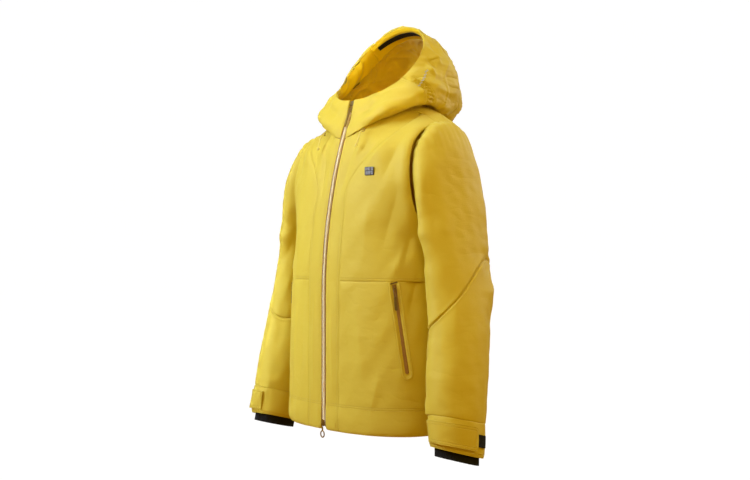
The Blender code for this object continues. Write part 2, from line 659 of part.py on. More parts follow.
def main():
    for thing in list(bpy.data.objects):
        bpy.data.objects.remove(thing, do_unlink=True)
    finish(BODY_YELLOW, (0.72, 0.55, 0.05), 0.62)
    finish("lining", (0.50, 0.29, 0.01), 0.55)
    finish("gaiter_black", (0.012, 0.010, 0.013), 0.80)
    finish("zip_gold", (0.62, 0.44, 0.18), 0.38, 0.75)
    finish("zip_tape", (0.30, 0.13, 0.02), 0.70)
    finish("cord", (0.62, 0.45, 0.08), 0.60)
    finish("badge_grey", (0.20, 0.18, 0.20), 0.45, 0.4)
    finish("matte_black", (0.02, 0.02, 0.02), 0.55)
    torso_panels()
    linings()
    sleeve_panels()
    hood_panels()
    front_zip()
    hand_pockets()
    drawcords()
    hanger_loop()
    hem_locks()
    chest_badge()


main()
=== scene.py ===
"""Looks of the hooded hardshell ski jacket: sewn and softly padded cloth panels, moulded
zip teeth, knit cuffs, cords and trims, built on the same lofts as the CAD solids.

Metres, +Z up; the front faces -Y and the wearer's left is +X.
"""
import math

import bpy
import numpy as np
from mathutils import Matrix, Vector


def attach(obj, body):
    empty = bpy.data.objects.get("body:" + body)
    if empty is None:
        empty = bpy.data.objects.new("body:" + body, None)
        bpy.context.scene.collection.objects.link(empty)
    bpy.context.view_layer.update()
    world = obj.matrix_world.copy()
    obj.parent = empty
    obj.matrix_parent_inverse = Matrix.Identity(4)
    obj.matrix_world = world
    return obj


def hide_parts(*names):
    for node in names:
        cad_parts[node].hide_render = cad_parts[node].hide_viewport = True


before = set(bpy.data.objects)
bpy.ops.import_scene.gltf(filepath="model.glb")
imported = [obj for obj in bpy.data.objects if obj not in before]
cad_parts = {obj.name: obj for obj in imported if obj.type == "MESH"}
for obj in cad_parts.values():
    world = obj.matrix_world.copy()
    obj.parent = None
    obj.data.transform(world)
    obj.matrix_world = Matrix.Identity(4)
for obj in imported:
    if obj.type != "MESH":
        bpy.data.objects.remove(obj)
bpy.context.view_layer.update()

# ---- camera: level, on the wearer's left of the front ----
CAMERA_PLACE = (1.8695, -1.6885, -0.2740)
CAMERA_TURN = math.radians(48.0)
SENSOR = 36.0
LENS = 52.65

# ---- front zip line: straight up from the hem, then one arc over the chest ----
FRONT_Y = -0.160
ARC_START_Z = -0.400
ARC_RADIUS = 1.150
ZIP_BOTTOM_Z = -0.684
ZIP_TOP_Z = 0.036
TEETH_TOP_Z = 0.014
TOP_SLIDER_Z = 0.021
BOTTOM_SLIDER_Z = -0.676

# ---- lofts: one row for each ring of the surface ----
# ring, z front, y back, z back, x side, y side, z side, squareness
TORSO = (
    (0.00, -0.690, 0.100, -0.690, 0.216, -0.030, -0.690, 2.3),
    (0.15, -0.590, 0.104, -0.590, 0.217, -0.029, -0.590, 2.3),
    (0.35, -0.450, 0.106, -0.450, 0.213, -0.027, -0.450, 2.3),
    (0.50, -0.350, 0.110, -0.350, 0.206, -0.020, -0.350, 2.3),
    (0.62, -0.270, 0.118, -0.270, 0.202, -0.010, -0.270, 2.4),
    (0.72, -0.205, 0.138, -0.190, 0.218, 0.002, -0.180, 2.5),
    (0.80, -0.155, 0.146, -0.120, 0.222, 0.010, -0.095, 2.5),
    (0.86, -0.115, 0.142, -0.070, 0.208, 0.012, -0.045, 2.5),
    (0.90, -0.092, 0.133, -0.035, 0.184, 0.012, -0.019, 2.4),
    (0.95, -0.068, 0.108, 0.005, 0.135, 0.004, 0.008, 2.2),
    (1.00, -0.047, 0.078, 0.038, 0.085, -0.010, 0.030, 2.1),
)
# ring, z front, y back, z back, x side, y side, z side, squareness
HOOD = (
    (0.00, -0.047, 0.078, 0.038, 0.085, -0.010, 0.030, 2.1),
    (0.08, -0.037, 0.112, 0.022, 0.120, -0.002, 0.027, 2.2),
    (0.18, -0.022, 0.165, -0.006, 0.145, 0.012, 0.026, 2.3),
    (0.32, -0.006, 0.208, 0.018, 0.154, 0.026, 0.042, 2.3),
    (0.50, 0.008, 0.219, 0.085, 0.152, 0.033, 0.066, 2.2),
    (0.68, 0.020, 0.193, 0.150, 0.143, 0.030, 0.088, 2.2),
    (0.84, 0.030, 0.143, 0.200, 0.130, 0.024, 0.107, 2.2),
    (1.00, 0.040, 0.080, 0.226, 0.115, 0.015, 0.124, 2.2),
)
# ring, inner x, inner z, outer x, outer z, middle y, half depth, front rise, squareness
SLEEVE = (
    (0.00, 0.2028, -0.262, 0.183, -0.018, 0.010, 0.090, 0.000, 2.3),
    (0.06, 0.2060, -0.270, 0.208, -0.024, 0.010, 0.093, 0.000, 2.3),
    (0.12, 0.2080, -0.279, 0.225, -0.047, 0.010, 0.095, 0.000, 2.2),
    (0.18, 0.2095, -0.289, 0.238, -0.085, 0.010, 0.096, 0.000, 2.2),
    (0.26, 0.2105, -0.301, 0.250, -0.150, 0.010, 0.097, 0.002, 2.1),
    (0.36, 0.2115, -0.320, 0.270, -0.245, 0.008, 0.095, 0.004, 2.0),
    (0.50, 0.2150, -0.400, 0.304, -0.380, 0.003, 0.088, 0.008, 2.0),
    (0.70, 0.2290, -0.520, 0.332, -0.505, -0.025, 0.076, 0.013, 2.0),
    (0.88, 0.2480, -0.630, 0.351, -0.625, -0.047, 0.068, 0.016, 2.0),
    (1.00, 0.2620, -0.708, 0.358, -0.712, -0.058, 0.062, 0.017, 2.0),
)
ARMHOLE_TOP = (0.1830, -0.018)
ARMHOLE_BOTTOM = (0.2035, -0.272)
ARMHOLE_CENTRE_Y = 0.010
ARMHOLE_BLEND = 0.20

# ---- seams ----
RING_WAIST = 0.480
RING_HEM_STITCH = 0.083
CHEST_TOP = 0.949
RING_BACK_YOKE = 0.612
ZIP_EDGE_X = 0.0078
ZIP_WELT = (-0.0026, 0.0045)  # rise and width of the turned edge beside the zip
FRONT_TOP = 0.998
YOKE_TOP = 0.997
HOOD_RINGS = (0.003, 0.998)
LINING_RINGS = (0.096, 0.985)
LINING_FRONT_X = 0.025
PRINCESS_X = ((0.0, 0.052), (0.70, 0.052), (0.80, 0.052), (0.86, 0.081), (0.90, 0.117), (0.936, 0.145),
              (0.95, 0.137), (1.0, 0.090))
ELBOW_SEAM = (0.520, 0.105, math.radians(30))
SLEEVE_RUN = 0.62             # metres of sleeve for one whole ring unit near the elbow
CUFF_RING = 0.905
GAITER_SCALE = 0.80
CHEEK_SEAM = (math.radians(95), math.radians(66))
CROWN_SEAM = math.radians(136)
FACING_DEPTH = 0.050
FACING_START = math.radians(11)
BRIM_SEAM = math.radians(128)
BRIM_MESH = (136, 224, 0.935, 0.972)      # two angles in degrees and two rings

# ---- hand pockets: top and bottom of the coil as (angle, ring) on the torso ----
POCKET_TOP = (math.radians(54.4), 0.472)
POCKET_BOTTOM = (math.radians(64.7), 0.198)
POCKET_BAG = (36, 78, 0.12, 0.47)
BADGE_PLACE = (math.radians(25.0), 0.824)

# ---- cloth ----
PITCH = 0.0050                # mesh size in the middle of a panel
EDGE_STEPS = np.array((0.0, 0.0004, 0.0010, 0.0018, 0.0028, 0.0042))
PANEL_GAP = 0.0003
SHELL_THICK = 0.0028
THIN_CLOTH = 0.0012
GROOVE = (0.0005, 0.0012)     # depth and half width of the valley at a seam
CROWN = (0.0012, 0.010)       # rise of a panel away from its seams, and over what distance
PUFFED = (0.0020, 0.012)
NO_CROWN = (0.0, 1.0)
FAR = 1.0                     # a distance that means there is no stitching


# ================= surfaces =================
def keyed(table, place):
    """Smooth curve through the rows of a table, whose first column is the place."""
    rows = np.asarray(table, float)
    place = np.asarray(place, float)
    key, value = rows[:, 0], rows[:, 1:]
    slope = np.diff(value, axis=0) / np.diff(key)[:, None]
    tangent = np.vstack([slope[:1], 0.5 * (slope[1:] + slope[:-1]), slope[-1:]])
    i = np.clip(np.searchsorted(key, place, side="right") - 1, 0, len(key) - 2)
    step = (key[i + 1] - key[i])[..., None]
    t = np.clip((place - key[i])[..., None] / step, 0, 1)
    return (value[i] * (1 + 2 * t) * (1 - t) ** 2 + tangent[i] * step * t * (1 - t) ** 2
            + value[i + 1] * t * t * (3 - 2 * t) + tangent[i + 1] * step * t * t * (t - 1))


def signed_power(value, power):
    return np.sign(value) * np.abs(value) ** power


def zip_y(z):
    """Depth of the front zip line at a height."""
    rise = np.clip((np.asarray(z, float) - ARC_START_Z) / ARC_RADIUS, 0, 1)
    return FRONT_Y + ARC_RADIUS * (1 - np.sqrt(1 - rise * rise))


def zip_surface(x, z):
    return np.stack([x, zip_y(z), z + 0 * x], -1)


def body_ring(row, angle):
    """Point of a ring; angle 0 is the front, 90 degrees the wearer's left."""
    z_front, y_back, z_back, x_side, y_side, z_side, square = np.moveaxis(row, -1, 0)
    y_front = zip_y(z_front)
    c = signed_power(np.cos(angle), 2 / square)
    s = signed_power(np.sin(angle), 2 / square)
    y_mid, z_mid = (y_front + y_back) / 2, (z_front + z_back) / 2
    y = y_mid - (y_back - y_front) / 2 * c + (y_side - y_mid) * s * s
    z = z_mid - (z_back - z_front) / 2 * c + (z_side - z_mid) * s * s
    return np.stack([x_side * s, y, z], -1)


def torso(angle, ring):
    return body_ring(keyed(TORSO, ring), angle)


def hood(angle, ring):
    return body_ring(keyed(HOOD, ring), angle)


def plain_sleeve(angle, ring):
    """Left sleeve; angle 0 is its outer side, 90 degrees its front."""
    in_x, in_z, out_x, out_z, y_mid, depth, rise, square = np.moveaxis(keyed(SLEEVE, ring), -1, 0)
    c = signed_power(np.cos(angle), 2 / square)
    s = signed_power(np.sin(angle), 2 / square)
    x = (in_x + out_x) / 2 + (out_x - in_x) / 2 * c
    z = (in_z + out_z) / 2 + (out_z - in_z) / 2 * c + rise * s
    return np.stack([x, y_mid - depth * s, z], -1)


def armhole_distance(points):
    """Distance of points from the left armhole's plane, positive on the sleeve's side."""
    run = np.subtract(ARMHOLE_TOP, ARMHOLE_BOTTOM)
    normal = np.array([run[1], -run[0]]) / np.hypot(*run)
    return (points[..., [0, 2]] - np.array(ARMHOLE_BOTTOM)) @ normal


def armhole_angle(ring, back=False):
    """Angle where a torso ring meets the armhole's plane, or 90 degrees if it doesn't."""
    ring = np.asarray(ring, float)
    side = np.full(ring.shape, math.pi / 2)
    near, far = side.copy(), np.full(ring.shape, math.pi * (1.0 if back else 0.0))
    for _ in range(40):
        middle = (near + far) / 2
        beyond = armhole_distance(torso(middle, ring)) > 0
        near, far = np.where(beyond, middle, near), np.where(beyond, far, middle)
    crosses = armhole_distance(torso(side, ring)) > 0
    return np.where(crosses, far, side)


def back_armhole_angle(ring):
    return armhole_angle(ring, back=True)


def right_armhole_angle(ring):
    """The same seam on the wearer's right, going round by the back."""
    return 2 * math.pi - back_armhole_angle(ring)


def armhole_outline():
    """The torso's section at the armhole, as a polar curve about the sleeve's first ring."""
    ring = np.linspace(0.60, 0.91, 240)
    front, back = torso(armhole_angle(ring), ring), torso(back_armhole_angle(ring), ring)
    on_plane = armhole_distance(torso(np.full(ring.shape, math.pi / 2), ring)) > 0
    loop = np.vstack([front[on_plane], back[on_plane][::-1]])
    centre = np.array([0, ARMHOLE_CENTRE_Y, (ARMHOLE_TOP[1] + ARMHOLE_BOTTOM[1]) / 2])
    polar = np.arctan2(-(loop[:, 1] - centre[1]), loop[:, 2] - centre[2])
    order = np.argsort(polar)
    return centre, polar[order], loop[order]


ARMHOLE = armhole_outline()


def sleeve(angle, ring):
    """Left sleeve, whose first ring follows the torso's own section at the armhole."""
    centre, polar, loop = ARMHOLE
    first = plain_sleeve(angle, 0 * ring)
    turn = np.arctan2(-(first[..., 1] - centre[1]), first[..., 2] - centre[2])
    seam = np.stack([np.interp(turn, polar, loop[:, k], period=2 * math.pi) for k in range(3)], -1)
    fade = np.clip(1 - ring / ARMHOLE_BLEND, 0, 1)[..., None] ** 2
    return plain_sleeve(angle, ring) + (seam - first) * fade


def gaiter_surface(angle, drop):
    """Inner cuff: the sleeve's end ring, drawn in and run out along the arm."""
    everywhere = np.linspace(0, 2 * math.pi, 24, endpoint=False)
    centre = sleeve(everywhere, np.ones(24)).mean(0)
    arm = centre - sleeve(everywhere, np.full(24, 0.94)).mean(0)
    arm /= np.linalg.norm(arm)
    end = sleeve(angle, 1 + 0 * drop)
    return centre + (end - centre) * GAITER_SCALE + arm * drop[..., None]


def surface_normal(surface, u, v):
    step = 1e-4
    du = surface(u + step, v) - surface(u - step, v)
    dv = surface(u, v + step) - surface(u, v - step)
    normal = np.cross(du, dv)
    return normal / np.linalg.norm(normal, axis=-1, keepdims=True)


def constant(value):
    """Curve that keeps to one angle or one ring."""
    return lambda place: np.full(np.shape(place), value)


def at_x(table, surface_table):
    """Angle at which a ring reaches the x that a table gives for it."""
    def angle(ring):
        row = keyed(surface_table, ring)
        x = keyed(table, ring)[..., 0]
        return np.arcsin(np.clip(x / row[..., 3], 0, 1) ** (row[..., 6] / 2))
    return angle


def elbow_ring(angle):
    mean, swing, turn = ELBOW_SEAM
    return mean + swing * np.sin(angle - turn)


def cheek_seam(ring):
    low, high = CHEEK_SEAM
    return low + (high - low) * np.asarray(ring)


zip_edge_torso = at_x(((0.0, ZIP_EDGE_X), (1.0, ZIP_EDGE_X)), TORSO)
zip_edge_hood = at_x(((0.0, ZIP_EDGE_X), (1.0, ZIP_EDGE_X)), HOOD)
princess = at_x(PRINCESS_X, TORSO)


# ================= grids =================
def spacing(length, count_length, pitch):
    """Shares of each row's length: fixed small steps at both ends, even steps between."""
    length = np.maximum(np.asarray(length, float), 1e-4)[:, None]
    inner = max(2, int(round((count_length - 2 * EDGE_STEPS[-1]) / pitch)))
    left = np.minimum(EDGE_STEPS / length, 0.4 * EDGE_STEPS / EDGE_STEPS[-1])
    right = 1 - left[:, ::-1]
    middle = np.linspace(0, 1, inner + 1)[1:-1]
    start, end = left[:, -1:], right[:, :1]
    return np.hstack([left, start + (end - start) * middle, right])


def arc_length(points, axis=0):
    """Running length along an axis of a grid of points."""
    step = np.linalg.norm(np.diff(points, axis=axis), axis=-1)
    first = np.zeros_like(np.take(step, [0], axis=axis))
    return np.concatenate([first, np.cumsum(step, axis=axis)], axis=axis)


def fan(surface, start, end, low, high, pitch):
    """Grid between two angles, from one ring curve of the angle to another."""
    at = np.linspace(start, end, 200)
    girth = arc_length(surface(at, high(at)))
    share = spacing([girth[-1]], girth[-1], pitch)[0]
    angle = np.interp(share * girth[-1], girth, at)
    first, last = low(angle), high(angle)
    middle = len(angle) // 2
    run = arc_length(surface(np.full(60, angle[middle]), np.linspace(first[middle], last[middle], 60)))[-1]
    t = spacing([run], run, pitch)[0][:, None]
    return np.repeat(angle[None], len(t), 0), first + (last - first) * t


def even_rings(surface, angle, low, high, pitch):
    """Ring values with even steps in metres along one angle, and small steps at the ends."""
    ring = np.linspace(low, high, 200)
    run = arc_length(surface(np.full(200, angle), ring))
    share = spacing([run[-1]], run[-1], pitch)[0]
    return np.interp(share * run[-1], run, ring)


def patch(surface, low, high, ring_low, ring_high, pitch=PITCH):
    """Grid of (angle, ring) between two angle curves."""
    half = np.array(0.5 * (ring_low + ring_high))
    ring = even_rings(surface, float(low(half) + high(half)) / 2, ring_low, ring_high, pitch)
    first, last = low(ring), high(ring)
    t = np.linspace(0, 1, 33)
    across = surface(first[:, None] + (last - first)[:, None] * t, np.repeat(ring[:, None], 33, 1))
    width = arc_length(across, 1)[:, -1]
    inset = PANEL_GAP / 2 / np.maximum(width, 10 * PANEL_GAP) * (last - first)
    first, last = first + inset, last - inset
    t = spacing(width, width.max(), pitch)
    u = first[:, None] + (last - first)[:, None] * t
    return u, np.repeat(ring[:, None], u.shape[1], 1)


def sector(surface, start, end, ring_low, ring_high, pitch):
    """Grid between two angles in degrees."""
    low, high = constant(math.radians(start)), constant(math.radians(end))
    return patch(surface, low, high, ring_low, ring_high, pitch)


def tube(surface, low, high, pitch=PITCH):
    """Wrapped grid between two ring curves of the angle."""
    at = np.linspace(0, 2 * math.pi, 60, endpoint=False)
    girth = arc_length(surface(np.append(at, 0), np.full(61, float(low(np.zeros(1))[0]))))[-1]
    angle = np.linspace(0, 2 * math.pi, int(girth / pitch), endpoint=False)
    first, last = low(angle), high(angle)
    run = arc_length(surface(np.full(50, 0.0), np.linspace(first.mean(), last.mean(), 50)))[-1]
    t = spacing([run], run, pitch)[0][:, None]
    return np.repeat(angle[None], len(t), 0), first + (last - first) * t


def grid_faces(rows, cols, wrap):
    """Quads of a closed slab whose outer grid comes first and inner grid second."""
    r, c = np.meshgrid(np.arange(rows - 1), np.arange(cols if wrap else cols - 1), indexing="ij")
    r, c = r.ravel(), c.ravel()
    d = (c + 1) % cols
    quad = np.stack([r * cols + c, r * cols + d, (r + 1) * cols + d, (r + 1) * cols + c], 1)
    inner = rows * cols
    parts = [quad, quad[:, ::-1] + inner]
    c = np.arange(cols if wrap else cols - 1)
    d = (c + 1) % cols
    last = (rows - 1) * cols
    parts.append(np.stack([d, c, inner + c, inner + d], 1))
    parts.append(np.stack([last + c, last + d, inner + last + d, inner + last + c], 1))
    if not wrap:
        a = np.arange(rows - 1) * cols
        b = a + cols
        parts.append(np.stack([a, b, inner + b, inner + a], 1))
        a, b = a + cols - 1, b + cols - 1
        parts.append(np.stack([b, a, inner + a, inner + b], 1))
    return np.vstack(parts)


# ================= folds =================
def segment_distance(points, start, end):
    """Distance from a segment, and how far along it, from 0 to 1."""
    start, end = np.asarray(start, float), np.asarray(end, float)
    run = end - start
    t = np.clip((points - start) @ run / (run @ run), 0, 1)
    return np.linalg.norm(points - start - t[..., None] * run, axis=-1), t


DEPTH_SHARE = 0.25            # how much of a fold's distance along the cloth's normal counts


def ridge(points, normal, start, end, width, height, taper=0.35):
    """Soft fold between two points; a negative height is a valley.

    The line may pass a little above or below the cloth, so depth counts for less than reach.
    """
    distance, t = segment_distance(points, start, end)
    nearest = np.asarray(start) + t[..., None] * (np.asarray(end) - np.asarray(start))
    deep = ((points - nearest) * normal).sum(-1)
    distance = np.sqrt(np.maximum(distance ** 2 - (1 - DEPTH_SHARE ** 2) * deep ** 2, 0))
    ends = np.clip(np.minimum(t, 1 - t) / taper, 0.12, 1)
    return height * ends * np.exp(-((distance / (width * (0.6 + 0.4 * ends))) ** 1.15))


def smooth(value, low, high):
    t = np.clip((value - low) / (high - low), 0, 1)
    return t * t * (3 - 2 * t)


def bell(value, width):
    return np.exp(-((value / width) ** 2))


def left_side(points):
    """Points of the wearer's right side moved to the left one."""
    moved = points * (1, 1, 1)
    moved[..., 0] = np.abs(moved[..., 0])
    return moved


def drift(points, size, seed):
    """Smooth wandering field of about unit height, from a few crossed waves."""
    turn = np.random.default_rng(seed)
    total = 0.0
    for _ in range(5):
        direction = turn.normal(size=3)
        direction /= np.linalg.norm(direction)
        total = total + np.sin(points @ direction * (2 * math.pi / (size * turn.uniform(0.7, 1.5)))
                               + turn.uniform(0, 2 * math.pi))
    return total / 2.5


def warped(points, size, amount, seed):
    """Points moved about by drift, so that waves laid over them wander."""
    moved = np.stack([drift(points, size, seed + k) for k in range(3)], -1)
    return points + amount * moved


def creases(points, size, seed):
    """Thin ridges where a wandering field crosses zero, as in lightly crumpled cloth."""
    field = drift(warped(points, size * 1.7, size * 0.35, seed + 10), size, seed)
    return bell(field, 0.22)


# start, end, width, height in metres; x is mirrored for the wearer's right side
TORSO_FOLDS = (
    ((0.145, -0.070, -0.048), (0.098, -0.118, -0.115), 0.014, 0.0044),
    ((0.160, -0.072, -0.062), (0.140, -0.112, -0.150), 0.014, -0.0038),
    ((0.110, -0.090, -0.055), (0.070, -0.122, -0.110), 0.009, -0.0030),
    ((0.045, -0.108, -0.062), (0.030, -0.135, -0.190), 0.009, -0.0028),
    ((0.066, -0.100, -0.045), (0.060, -0.116, -0.095), 0.006, 0.0036),
    ((0.056, -0.104, -0.045), (0.050, -0.118, -0.085), 0.005, -0.0026),
    ((0.078, -0.098, -0.045), (0.072, -0.116, -0.085), 0.005, -0.0026),
    ((0.175, -0.090, -0.150), (0.150, -0.125, -0.300), 0.020, -0.0040),
    ((0.190, -0.080, -0.270), (0.165, -0.115, -0.370), 0.012, 0.0034),
    ((0.196, -0.070, -0.250), (0.185, -0.095, -0.330), 0.009, -0.0030),
    ((0.120, -0.140, -0.180), (0.110, -0.150, -0.330), 0.018, 0.0026),
    ((0.030, -0.160, -0.380), (0.033, -0.160, -0.620), 0.010, 0.0024),
    ((0.070, -0.155, -0.400), (0.085, -0.155, -0.600), 0.016, -0.0020),
    ((0.100, -0.148, -0.420), (0.120, -0.142, -0.600), 0.020, 0.0032),
    ((0.205, -0.060, -0.330), (0.190, -0.090, -0.450), 0.012, -0.0034),
    ((0.150, -0.125, -0.560), (0.130, -0.140, -0.660), 0.012, 0.0026),
    ((0.190, 0.060, -0.290), (0.150, 0.100, -0.380), 0.016, -0.0040),
    ((0.175, 0.095, -0.210), (0.120, 0.118, -0.330), 0.020, 0.0040),
    ((0.130, 0.130, -0.100), (0.090, 0.135, -0.220), 0.022, -0.0034),
    ((0.060, 0.110, -0.340), (0.070, 0.106, -0.560), 0.024, 0.0034),
)
HOOD_FOLDS = (
    ((0.140, 0.020, 0.095), (0.085, 0.170, 0.015), 0.009, -0.0060),
    ((0.145, 0.005, 0.080), (0.085, 0.175, 0.030), 0.007, 0.0054),
    ((0.150, 0.010, 0.060), (0.080, 0.180, 0.020), 0.007, -0.0050),
    ((0.155, 0.015, 0.040), (0.090, 0.150, 0.010), 0.007, 0.0050),
    ((0.155, 0.045, 0.055), (0.095, 0.165, 0.040), 0.006, -0.0040),
    ((0.155, 0.050, 0.050), (0.090, 0.130, 0.010), 0.006, 0.0044),
    ((0.150, -0.005, 0.060), (0.150, 0.020, 0.065), 0.004, -0.0036),
    ((0.150, -0.010, 0.050), (0.150, 0.015, 0.055), 0.004, 0.0036),
    ((0.145, -0.020, 0.035), (0.150, 0.005, 0.040), 0.004, -0.0032),
    ((0.025, -0.090, 0.000), (0.120, -0.045, 0.045), 0.010, -0.0034),
    ((0.045, -0.095, -0.020), (0.130, -0.035, 0.020), 0.009, 0.0046),
    ((0.055, -0.090, -0.010), (0.110, -0.055, 0.010), 0.006, -0.0028),
    ((0.040, -0.080, 0.020), (0.135, -0.020, 0.060), 0.010, 0.0036),
    ((0.095, 0.070, 0.180), (0.120, 0.085, 0.135), 0.006, -0.0046),
    ((0.110, 0.055, 0.160), (0.130, 0.080, 0.120), 0.006, 0.0042),
    ((0.120, 0.040, 0.140), (0.135, 0.060, 0.110), 0.005, -0.0040),
    ((0.125, 0.030, 0.120), (0.140, 0.050, 0.095), 0.005, 0.0036),
    ((0.140, 0.060, 0.095), (0.105, 0.120, 0.090), 0.010, -0.0036),
    ((0.060, 0.190, 0.110), (0.110, 0.120, 0.040), 0.012, -0.0044),
    ((0.030, 0.215, 0.090), (0.080, 0.170, 0.020), 0.012, 0.0044),
    ((0.000, 0.190, 0.140), (0.040, 0.200, 0.040), 0.016, -0.0034),
)
SLEEVE_FOLDS = (
    ((0.210, -0.075, -0.270), (0.262, -0.080, -0.345), 0.012, -0.0046),
    ((0.212, -0.070, -0.240), (0.256, -0.084, -0.280), 0.010, 0.0042),
    ((0.212, -0.060, -0.300), (0.240, -0.088, -0.420), 0.012, 0.0034),
    ((0.225, -0.080, -0.090), (0.236, -0.085, -0.240), 0.018, 0.0036),
    ((0.240, -0.070, -0.120), (0.262, -0.070, -0.300), 0.020, -0.0026),
    ((0.215, -0.060, -0.045), (0.245, -0.050, -0.100), 0.010, -0.0030),
    ((0.225, -0.095, -0.420), (0.250, -0.110, -0.560), 0.013, -0.0036),
    ((0.310, -0.050, -0.360), (0.325, -0.080, -0.500), 0.016, 0.0034),
    ((0.285, -0.090, -0.430), (0.300, -0.100, -0.560), 0.014, -0.0026),
    ((0.260, -0.110, -0.590), (0.275, -0.118, -0.660), 0.011, 0.0036),
    ((0.320, -0.070, -0.560), (0.335, -0.085, -0.640), 0.014, -0.0030),
    ((0.290, 0.050, -0.350), (0.250, 0.085, -0.300), 0.013, -0.0050),
    ((0.300, 0.040, -0.400), (0.250, 0.080, -0.370), 0.012, 0.0048),
    ((0.315, 0.020, -0.450), (0.265, 0.055, -0.430), 0.013, -0.0044),
    ((0.250, 0.080, -0.150), (0.260, 0.085, -0.260), 0.018, 0.0038),
)


def fold_sum(points, normal, folds, wide, high):
    """All folds of a list, on the side of the jacket that the points are on."""
    total = np.zeros(points.shape[:-1])
    flip = np.stack([np.sign(points[..., 0]), 1 + 0 * points[..., 0], 1 + 0 * points[..., 0]], -1)
    for start, end, width, height in folds:
        total += ridge(points * flip, normal * flip, start, end, width * wide, height * high)
    return total


def torso_relief(points, sign, normal):
    base = fold_sum(points, normal, TORSO_FOLDS, 1.2, 1.35)
    side = smooth(np.abs(points[..., 0]), 0.03, 0.12)
    waves = 0.0022 * drift(points * (1, 1, 0.35), 0.16, 3 + sign) * (0.15 + 0.85 * side)
    fine = 0.0007 * drift(points * (1, 1, 0.5), 0.045, 21 + sign)
    gap, along = pocket_place(points)
    calm = smooth(np.abs(points[..., 0]), 0.006, 0.030) * smooth(gap, 0.006, 0.035)
    straight = COIL_BULGE * np.sin(math.pi * along) * bell(gap, 0.035)
    return (base + waves + fine) * calm - straight


def hood_relief(points, sign, normal):
    base = fold_sum(points, normal, HOOD_FOLDS, 1.35, 1.6)
    waves = 0.0022 * drift(points, 0.11, 5 + sign) + 0.0008 * drift(points, 0.035, 8 + sign)
    behind = smooth(points[..., 1], 0.0, 0.08)
    return base + waves + behind * 0.0022 * (creases(points * (1, 0.8, 1.2), 0.075, 31 + sign) - 0.3)


def sleeve_relief(points, sign, normal):
    base = fold_sum(points, normal, SLEEVE_FOLDS, 1.2, 1.2)
    waves = 0.0016 * drift(points * (1, 1, 0.45), 0.13, 12 + sign)
    fine = 0.0005 * drift(points, 0.04, 17 + sign)
    return base + waves + fine


def flat_relief(points, sign, normal):
    return 0.0004 * drift(points, 0.05, 40 + sign)


# ================= cloth panels =================
def new_object(name, mesh):
    made = bpy.data.objects.new(name, mesh)
    bpy.context.scene.collection.objects.link(made)
    return made


def mesh_object(name, verts, faces, material, sharp=62):
    mesh = bpy.data.meshes.new(name)
    mesh.from_pydata(np.asarray(verts, float).tolist(), [], [list(map(int, face)) for face in faces])
    mesh.validate()
    if sharp:
        mesh.shade_smooth()
        mesh.set_sharp_from_angle(angle=math.radians(sharp))
    mesh.materials.append(material)
    return new_object(name, mesh)


def slab(name, outer, inner, material, mirror, wrap=False):
    """Closed piece between an outer and an inner grid of points."""
    verts = np.concatenate([outer.reshape(-1, 3), inner.reshape(-1, 3)])
    faces = grid_faces(*outer.shape[:2], wrap)
    if mirror:
        verts, faces = verts * (-1, 1, 1), faces[:, ::-1]
    return mesh_object(name, verts, faces, material)


def edge_distances(points, wrap):
    """Distance in metres from the left, right, bottom and top edges of a grid."""
    up = arc_length(points, 0)
    if wrap:
        far = np.full(points.shape[:2], FAR)
        return {"left": far, "right": far, "bottom": up, "top": up[-1:] - up}, up, up
    along = arc_length(points, 1)
    return {"left": along, "right": along[:, -1:] - along, "bottom": up, "top": up[-1:] - up}, along, up


def panel(name, surface, grid, material, relief, sewn="", stitched="", wrap=False, mirror=False,
          thick=SHELL_THICK, lift=0.0, crown=CROWN, shape=None, extra=None, thin=False):
    """Closed piece of cloth over a surface patch.

    sewn edges sink into a seam's valley, stitched edges carry a double row of topstitching,
    shape is a further function of (angle, ring, points) in metres, and extra is the distance
    from further stitch rows. A thin piece moves as one; the back of a thick one stays level.
    """
    u, v = grid
    points, normal = surface(u, v), surface_normal(surface, u, v)
    distances, along, up = edge_distances(points, wrap)
    nowhere = np.full(points.shape[:2], FAR)
    seam = nowhere
    for edge in sewn.split():
        seam = np.minimum(seam, distances[edge])
    flip = (-1, 1, 1) if mirror else (1, 1, 1)
    side = points * flip
    offset = lift + relief(side, 1 if mirror else 0, normal * flip)
    offset = offset - GROOVE[0] * bell(seam, GROOVE[1]) + crown[0] * (1 - np.exp(-seam / crown[1]))
    if shape is not None:
        offset = offset + shape(u, v, side)
    back = offset if thin else np.minimum(offset, lift)
    outer = points + normal * offset[..., None]
    inner = points + normal * (back - thick)[..., None]
    made = slab(name, outer, inner, material, mirror, wrap)
    nearest, run = nowhere, 0 * up
    for edge in stitched.split():
        closer = distances[edge] < nearest
        nearest = np.where(closer, distances[edge], nearest)
        across = u * 0.12 if wrap else along
        run = np.where(closer, up if edge in ("left", "right") else across, run)
    row = nowhere if extra is None else extra(u, v, points)
    for key, values in (("stitch", nearest), ("run", run), ("row", row)):
        attribute = made.data.attributes.new(key, "FLOAT", "POINT")
        both = np.append(values.ravel(), nowhere.ravel())
        attribute.data.foreach_set("value", both.astype(np.float32))
    return made


SIDES = (("left", False), ("right", True))
SIGNS = (("left", 1), ("right", -1))


def keep(made, body="root", node=True):
    """Ride on a body, and stand for the CAD node that the piece is named after."""
    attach(made, body)
    if node:
        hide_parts(made.name.split(".")[0])
    return made


def cloth(name, slot, surface, grid, material, relief, body="root", padded=None, **details):
    """Panel that is kept."""
    return keep(panel(name, surface, grid, material, relief, **details), body)


def padded_shell(name, *about, fill, **details):
    """Kept panel of the outer shell; its fill of padding is not used."""
    return cloth(name, "shell_fabric", *about, padded=fill, **details)


